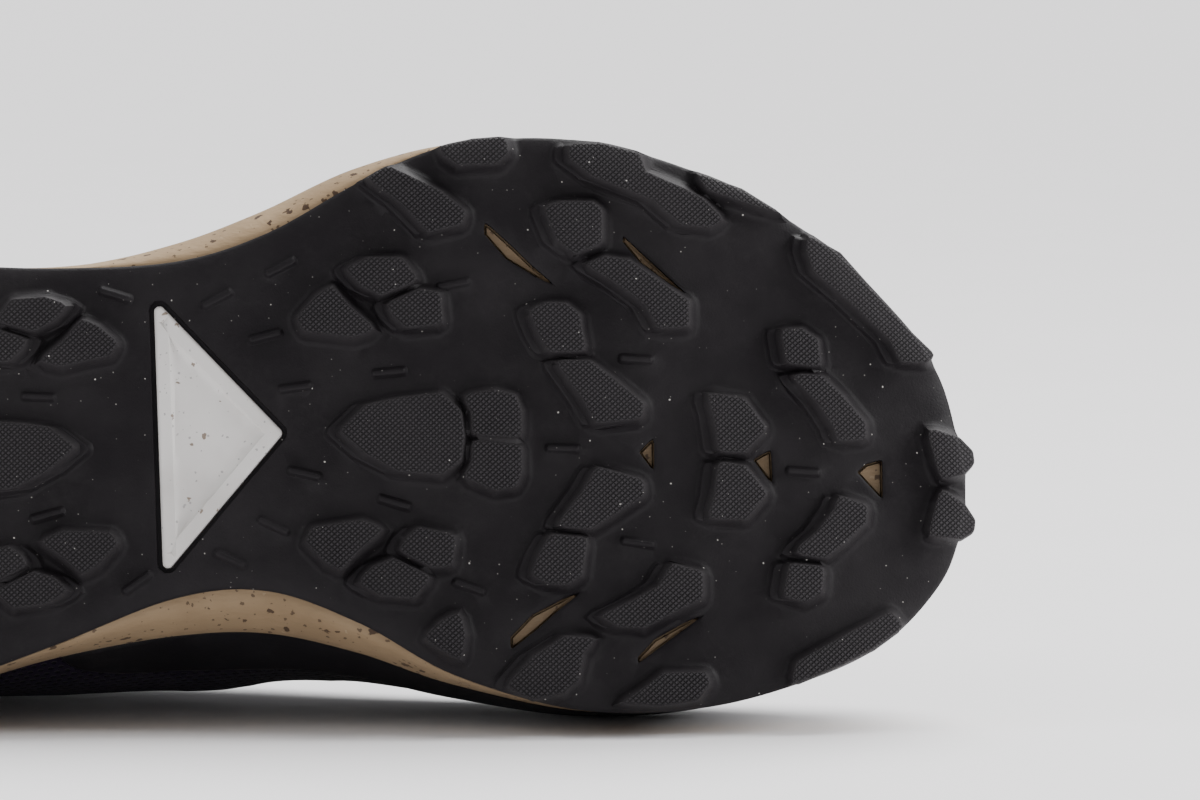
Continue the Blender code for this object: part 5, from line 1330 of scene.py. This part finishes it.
def makeLaces(material):
    last = laceSet["stations"][-1]
    bar = []
    for side in (-1, 1):
        over = laceSet["overEyestay"]
        rises = ((laceSet["hole"], 0.0006), (laceSet["hole"] + 0.018, over), (0.985, over))
        spots = [wallSpot(sideStation(last, side), share, lift) for share, lift in rises]
        bar.append(spots if side < 0 else spots[::-1])
    middle = (bar[0][-1][0] + bar[1][0][0]) / 2 + np.array((0, 0, 0.0012))
    routes = [bar[0] + [(middle, (bar[0][-1][1] + bar[1][0][1]) / 2)] + bar[1]]
    for index in range(len(laceSet["stations"]) - 1):
        high, low = laceSet["stations"][index], laceSet["stations"][index + 1]
        routes.append(laceRoute(low, -1, high, index % 2))
        routes.append(laceRoute(low, 1, high, 1 - index % 2))
    points, faces, uv = [], [], []
    for route in routes:
        rows, uvRows = ribbon([spot[0] for spot in route], [spot[1] for spot in route])
        count, first = rows.shape[1], len(points)
        points += [p for row in rows for p in row]
        uv += [p for row in uvRows for p in row]
        for row in range(len(rows)):
            above = (row + 1) % len(rows)
            for i in range(count - 1):
                low, high = first + row * count + i, first + above * count + i
                faces.append([low, high, high + 1, low + 1])
        faces.append([first + row * count for row in range(len(rows))][::-1])
        faces.append([first + row * count + count - 1 for row in range(len(rows))])
    laces = addPiece("laceCord", laid(points), faces, [material], uv, None, 60)
    laces.data.flip_normals()
    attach(laces, "root")
    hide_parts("laces")
    return laces


sewing = {
    "pitch": 0.0034, "length": 0.0025, "thickness": 0.00062, "seed": 7,
    "edgeIn": 0.0022, "secondIn": 0.0046, "collarShare": 0.70, "lift": 0.0001,
}
eyelets = {"radius": 0.0027, "rim": 0.00062, "plugRadius": 0.00125, "plugRim": 0.00120, "flat": 0.55}


def newGeometryTree(name, inputs):
    tree = bpy.data.node_groups.new(name, "GeometryNodeTree")
    tree.interface.new_socket("Geometry", in_out="INPUT", socket_type="NodeSocketGeometry")
    for label, kind, value in inputs:
        socket = tree.interface.new_socket(label, in_out="INPUT", socket_type=kind)
        if value is not None:
            socket.default_value = value
    tree.interface.new_socket("Geometry", in_out="OUTPUT", socket_type="NodeSocketGeometry")
    return tree, tree.nodes.new("NodeGroupInput").outputs, tree.nodes.new("NodeGroupOutput").inputs


def facingTurn(tree, alongWay):  # X runs along the path, Z looks off the surface
    facing = addNode(tree, "GeometryNodeInputNamedAttribute", {"Name": "facing"},
                     data_type="FLOAT_VECTOR").outputs[0]
    turn = addNode(tree, "FunctionNodeAlignRotationToVector", {"Vector": alongWay}, axis="X")
    return addNode(tree, "FunctionNodeAlignRotationToVector", {"Rotation": turn.outputs[0], "Vector": facing},
                   axis="Z", pivot_axis="X").outputs[0]


def placeCopies(tree, given, out, points, shape, turn, scale):
    placed = addNode(tree, "GeometryNodeInstanceOnPoints",
                     {"Points": points, "Instance": shape, "Rotation": turn, "Scale": scale}).outputs[0]
    real = addNode(tree, "GeometryNodeRealizeInstances", {0: placed}).outputs[0]
    soft = addNode(tree, "GeometryNodeSetShadeSmooth", {0: real}).outputs[0]
    finished = addNode(tree, "GeometryNodeSetMaterial", {0: soft, "Material": given["Finish"]}).outputs[0]
    tree.links.new(finished, out["Geometry"])


def stitchTree():
    tree, given, out = newGeometryTree("stitchRow", [
        ("Pitch", "NodeSocketFloat", 0.0034), ("Length", "NodeSocketFloat", 0.0025),
        ("Thickness", "NodeSocketFloat", 0.0006), ("Seed", "NodeSocketInt", 1),
        ("Finish", "NodeSocketMaterial", None)])
    line = addNode(tree, "GeometryNodeMeshToCurve", {0: given["Geometry"]}).outputs[0]
    spots = tree.nodes.new("GeometryNodeResampleCurve")
    spots.mode = "LENGTH"
    tree.links.new(line, spots.inputs["Curve"])
    tree.links.new(given["Pitch"], spots.inputs["Length"])
    bead = addNode(tree, "GeometryNodeMeshUVSphere", {"Segments": 8, "Rings": 6, "Radius": 0.5}).outputs[0]
    size = addNode(tree, "ShaderNodeCombineXYZ",
                   {0: given["Length"], 1: given["Thickness"], 2: given["Thickness"]})
    thread = addNode(tree, "GeometryNodeTransform", {0: bead, "Scale": size.outputs[0]}).outputs[0]
    tangent = tree.nodes.new("GeometryNodeInputTangent").outputs[0]
    turn = facingTurn(tree, tangent)
    slack = addNode(tree, "FunctionNodeRandomValue", {"Seed": given["Seed"]}, data_type="FLOAT")
    slack.inputs[2].default_value, slack.inputs[3].default_value = -0.07, 0.07
    swing = addNode(tree, "ShaderNodeCombineXYZ", {2: slack.outputs[1]}).outputs[0]
    swung = addNode(tree, "FunctionNodeRotateRotation",
                    {0: turn, 1: addNode(tree, "FunctionNodeEulerToRotation", {0: swing}).outputs[0]},
                    rotation_space="LOCAL").outputs[0]
    placeCopies(tree, given, out, spots.outputs[0], thread, swung, (1.0, 1.0, 1.0))
    return tree


def eyeletTree():
    tree, given, out = newGeometryTree("eyeletRow", [
        ("Radius", "NodeSocketFloat", 0.0027), ("Rim", "NodeSocketFloat", 0.0006), ("Flat", "NodeSocketFloat", 0.6),
        ("Finish", "NodeSocketMaterial", None)])
    circle, rim = [
        addNode(tree, "GeometryNodeCurvePrimitiveCircle", {"Resolution": count, "Radius": given[label]}).outputs[0]
        for count, label in ((28, "Radius"), (12, "Rim"))]
    ring = addNode(tree, "GeometryNodeCurveToMesh", {0: circle, "Profile Curve": rim}).outputs[0]
    size = addNode(tree, "ShaderNodeCombineXYZ", {0: 1.0, 1: 1.0, 2: given["Flat"]})
    pressed = addNode(tree, "GeometryNodeTransform", {0: ring, "Scale": size.outputs[0]}).outputs[0]
    placeCopies(tree, given, out, given["Geometry"], pressed, facingTurn(tree, (1.0, 0.0, 0.0)), (1.0, 1.0, 1.0))
    return tree


def grownPiece(name, tree, paths, settings):  # runs the tree over the paths and keeps the plain mesh
    mesh = bpy.data.meshes.new(name + "Path")
    points, edges, facings = [], [], []
    for path in paths:
        first = len(points)
        points += laid([spot for spot, _ in path])
        facings += [tuple(layMatrix.to_3x3() @ Vector(way)) for _, way in path]
        edges += [(first + i, first + i + 1) for i in range(len(path) - 1)]
    mesh.from_pydata([tuple(p) for p in points], edges, [])
    facing = mesh.attributes.new("facing", "FLOAT_VECTOR", "POINT")
    facing.data.foreach_set("vector", np.array(facings, float).ravel())
    piece = addObject(name, mesh)
    modifier = piece.modifiers.new("grow", "NODES")
    modifier.node_group = tree
    sockets = {item.name: item.identifier for item in tree.interface.items_tree if item.in_out == "INPUT"}
    for label, value in settings.items():
        modifier[sockets[label]] = value
    result = bpy.data.meshes.new_from_object(piece.evaluated_get(bpy.context.evaluated_depsgraph_get()))
    piece.modifiers.clear()
    piece.data = result
    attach(piece, "root")
    return piece


def wallPath(ats, shares, lift):  # a line over the upper's wall and the way that it faces
    shares = np.asarray(shares, float)[None, :]
    normals = wallNormals(ats, shares)[0]
    places = wallPoints(ats, shares)[0] + normals * (clothLift(ats, shares)[0][:, None] + lift)
    return list(zip(places, normals))


def overlayLine(rows, fromFoot, inset, trim):
    ats = np.arange(rows[0][0] + trim, rows[-1][0] - trim, 1 / overlaySet["steps"])
    low, high = bandEdges(rows, fromFoot, ats)
    shares = high - inset / wallLengths(ats) if fromFoot else low + inset / wallLengths(ats)
    return wallPath(ats, shares, overlaySet["over"] - upperSet["clothLift"] + sewing["lift"])


def makeStitches(thread):
    collar = np.arange(-6.4, 6.5, 1 / overlaySet["steps"])
    paths = [
        overlayLine(overlaySet["eyestay"], False, sewing["edgeIn"], 0.35),
        overlayLine(overlaySet["eyestay"], False, sewing["secondIn"], 0.45),
        overlayLine(overlaySet["heelCounter"], True, sewing["edgeIn"], 0.50),
        wallPath(collar, np.full(len(collar), sewing["collarShare"]), sewing["lift"]),
    ]
    settings = {"Pitch": sewing["pitch"], "Length": sewing["length"], "Thickness": sewing["thickness"],
                "Seed": sewing["seed"], "Finish": thread}
    grownPiece("seamStitches", stitchTree(), paths, settings)


def makeEyelets(ring, dark):
    spots = []
    for at in laceSet["stations"]:
        for side in (-1, 1):
            spots.append([wallSpot(sideStation(at, side), laceSet["hole"], overlaySet["over"] + 0.0001)])
    tree = eyeletTree()
    grownPiece("eyeletRings", tree, spots, {
        "Radius": eyelets["radius"], "Rim": eyelets["rim"], "Flat": eyelets["flat"], "Finish": ring})
    grownPiece("eyeletHoles", tree, spots, {
        "Radius": eyelets["plugRadius"], "Rim": eyelets["plugRim"], "Flat": 0.2, "Finish": dark})


makeStitches(threadMaterial())
makeEyelets(film, liningCloth)
print("stitches and eyelets done")
makeLaces(laceMaterial())
print("laces: one bar and four crossings done")

view = {
    "target": (0.0774, -0.050, 0.0648), "elevation": 4.0, "distance": 1.30, "frameWidth": 0.2326,
    "sensor": 36.0, "clipEnd": 120.0,
}
studio = {
    "floorColour": (0.93, 0.92, 0.93, 1), "floorReach": 40.0,
    "worldColour": (1.0, 0.99, 1.0, 1), "worldStrength": 0.45,
    # broad soft light from above and a little behind: the way to it, its spread in degrees and its strength
    "skyWay": (0.28, 0.42, 0.86), "skySpread": 48.0, "skyStrength": 5.2,
    # name, place, size and power of each soft box, all turned to one spot on the shoe
    "aim": (0.05, 0, 0.05),
    "boxes": [
        ("toeBox", (1.60, -0.10, 0.85), (0.9, 0.9), 30.0),
        ("heelBox", (-1.70, -0.60, 0.95), (1.0, 0.9), 10.0),
    ],
}


def makeStage():
    material, tree, shader, where = startMaterial("paleFloor", Specular_IOR_Level=0.3)
    tone = noiseAt(tree, where, 14.0, 2.0)
    colour = mixColour(tree, ramp(tree, tone, 0.3, 0.7, 0.0, 0.04), studio["floorColour"], (0.80, 0.79, 0.80, 1))
    finishMaterial(tree, shader, colour, ramp(tree, tone, 0.3, 0.7, 0.55, 0.6), times(tree, tone, 0.00001))
    reach = studio["floorReach"]
    points = [(x * reach, y * reach, 0.0) for x, y in ((-1, -1), (1, -1), (1, 1), (-1, 1))]
    floor = addPiece("studioFloor", points, [(0, 1, 2, 3)], [material])


def makeLights():
    world = bpy.data.worlds.new("studioWorld")
    bpy.context.scene.world = world
    world.use_nodes = True
    background = world.node_tree.nodes["Background"]
    background.inputs["Color"].default_value = studio["worldColour"]
    background.inputs["Strength"].default_value = studio["worldStrength"]
    sky = bpy.data.lights.new("skyLight", "SUN")
    sky.energy, sky.angle = studio["skyStrength"], math.radians(studio["skySpread"])
    skyHolder = addObject("skyLight", sky)
    skyHolder.rotation_euler = Vector(studio["skyWay"]).to_track_quat("Z", "Y").to_euler()
    for name, place, size, power in studio["boxes"]:
        lamp = bpy.data.lights.new(name, "AREA")
        lamp.shape = "RECTANGLE"
        lamp.size, lamp.size_y = size
        lamp.energy = power
        holder = addObject(name, lamp)
        holder.location = place
        holder.rotation_euler = (Vector(studio["aim"]) - Vector(place)).to_track_quat("-Z", "Y").to_euler()


def makeCamera():
    camera = bpy.data.cameras.new("photoCamera")
    camera.sensor_width = view["sensor"]
    camera.lens = view["sensor"] * view["distance"] / view["frameWidth"]
    camera.clip_end = view["clipEnd"]
    holder = addObject("photoCamera", camera)
    lean = math.radians(view["elevation"])
    away = Vector((0, -math.cos(lean), math.sin(lean)))
    holder.location = Vector(view["target"]) + away * view["distance"]
    holder.rotation_euler = (-away).to_track_quat("-Z", "Y").to_euler()
    bpy.context.scene.camera = holder


makeStage()
makeLights()
makeCamera()
print("stage: floor, soft boxes and camera done")
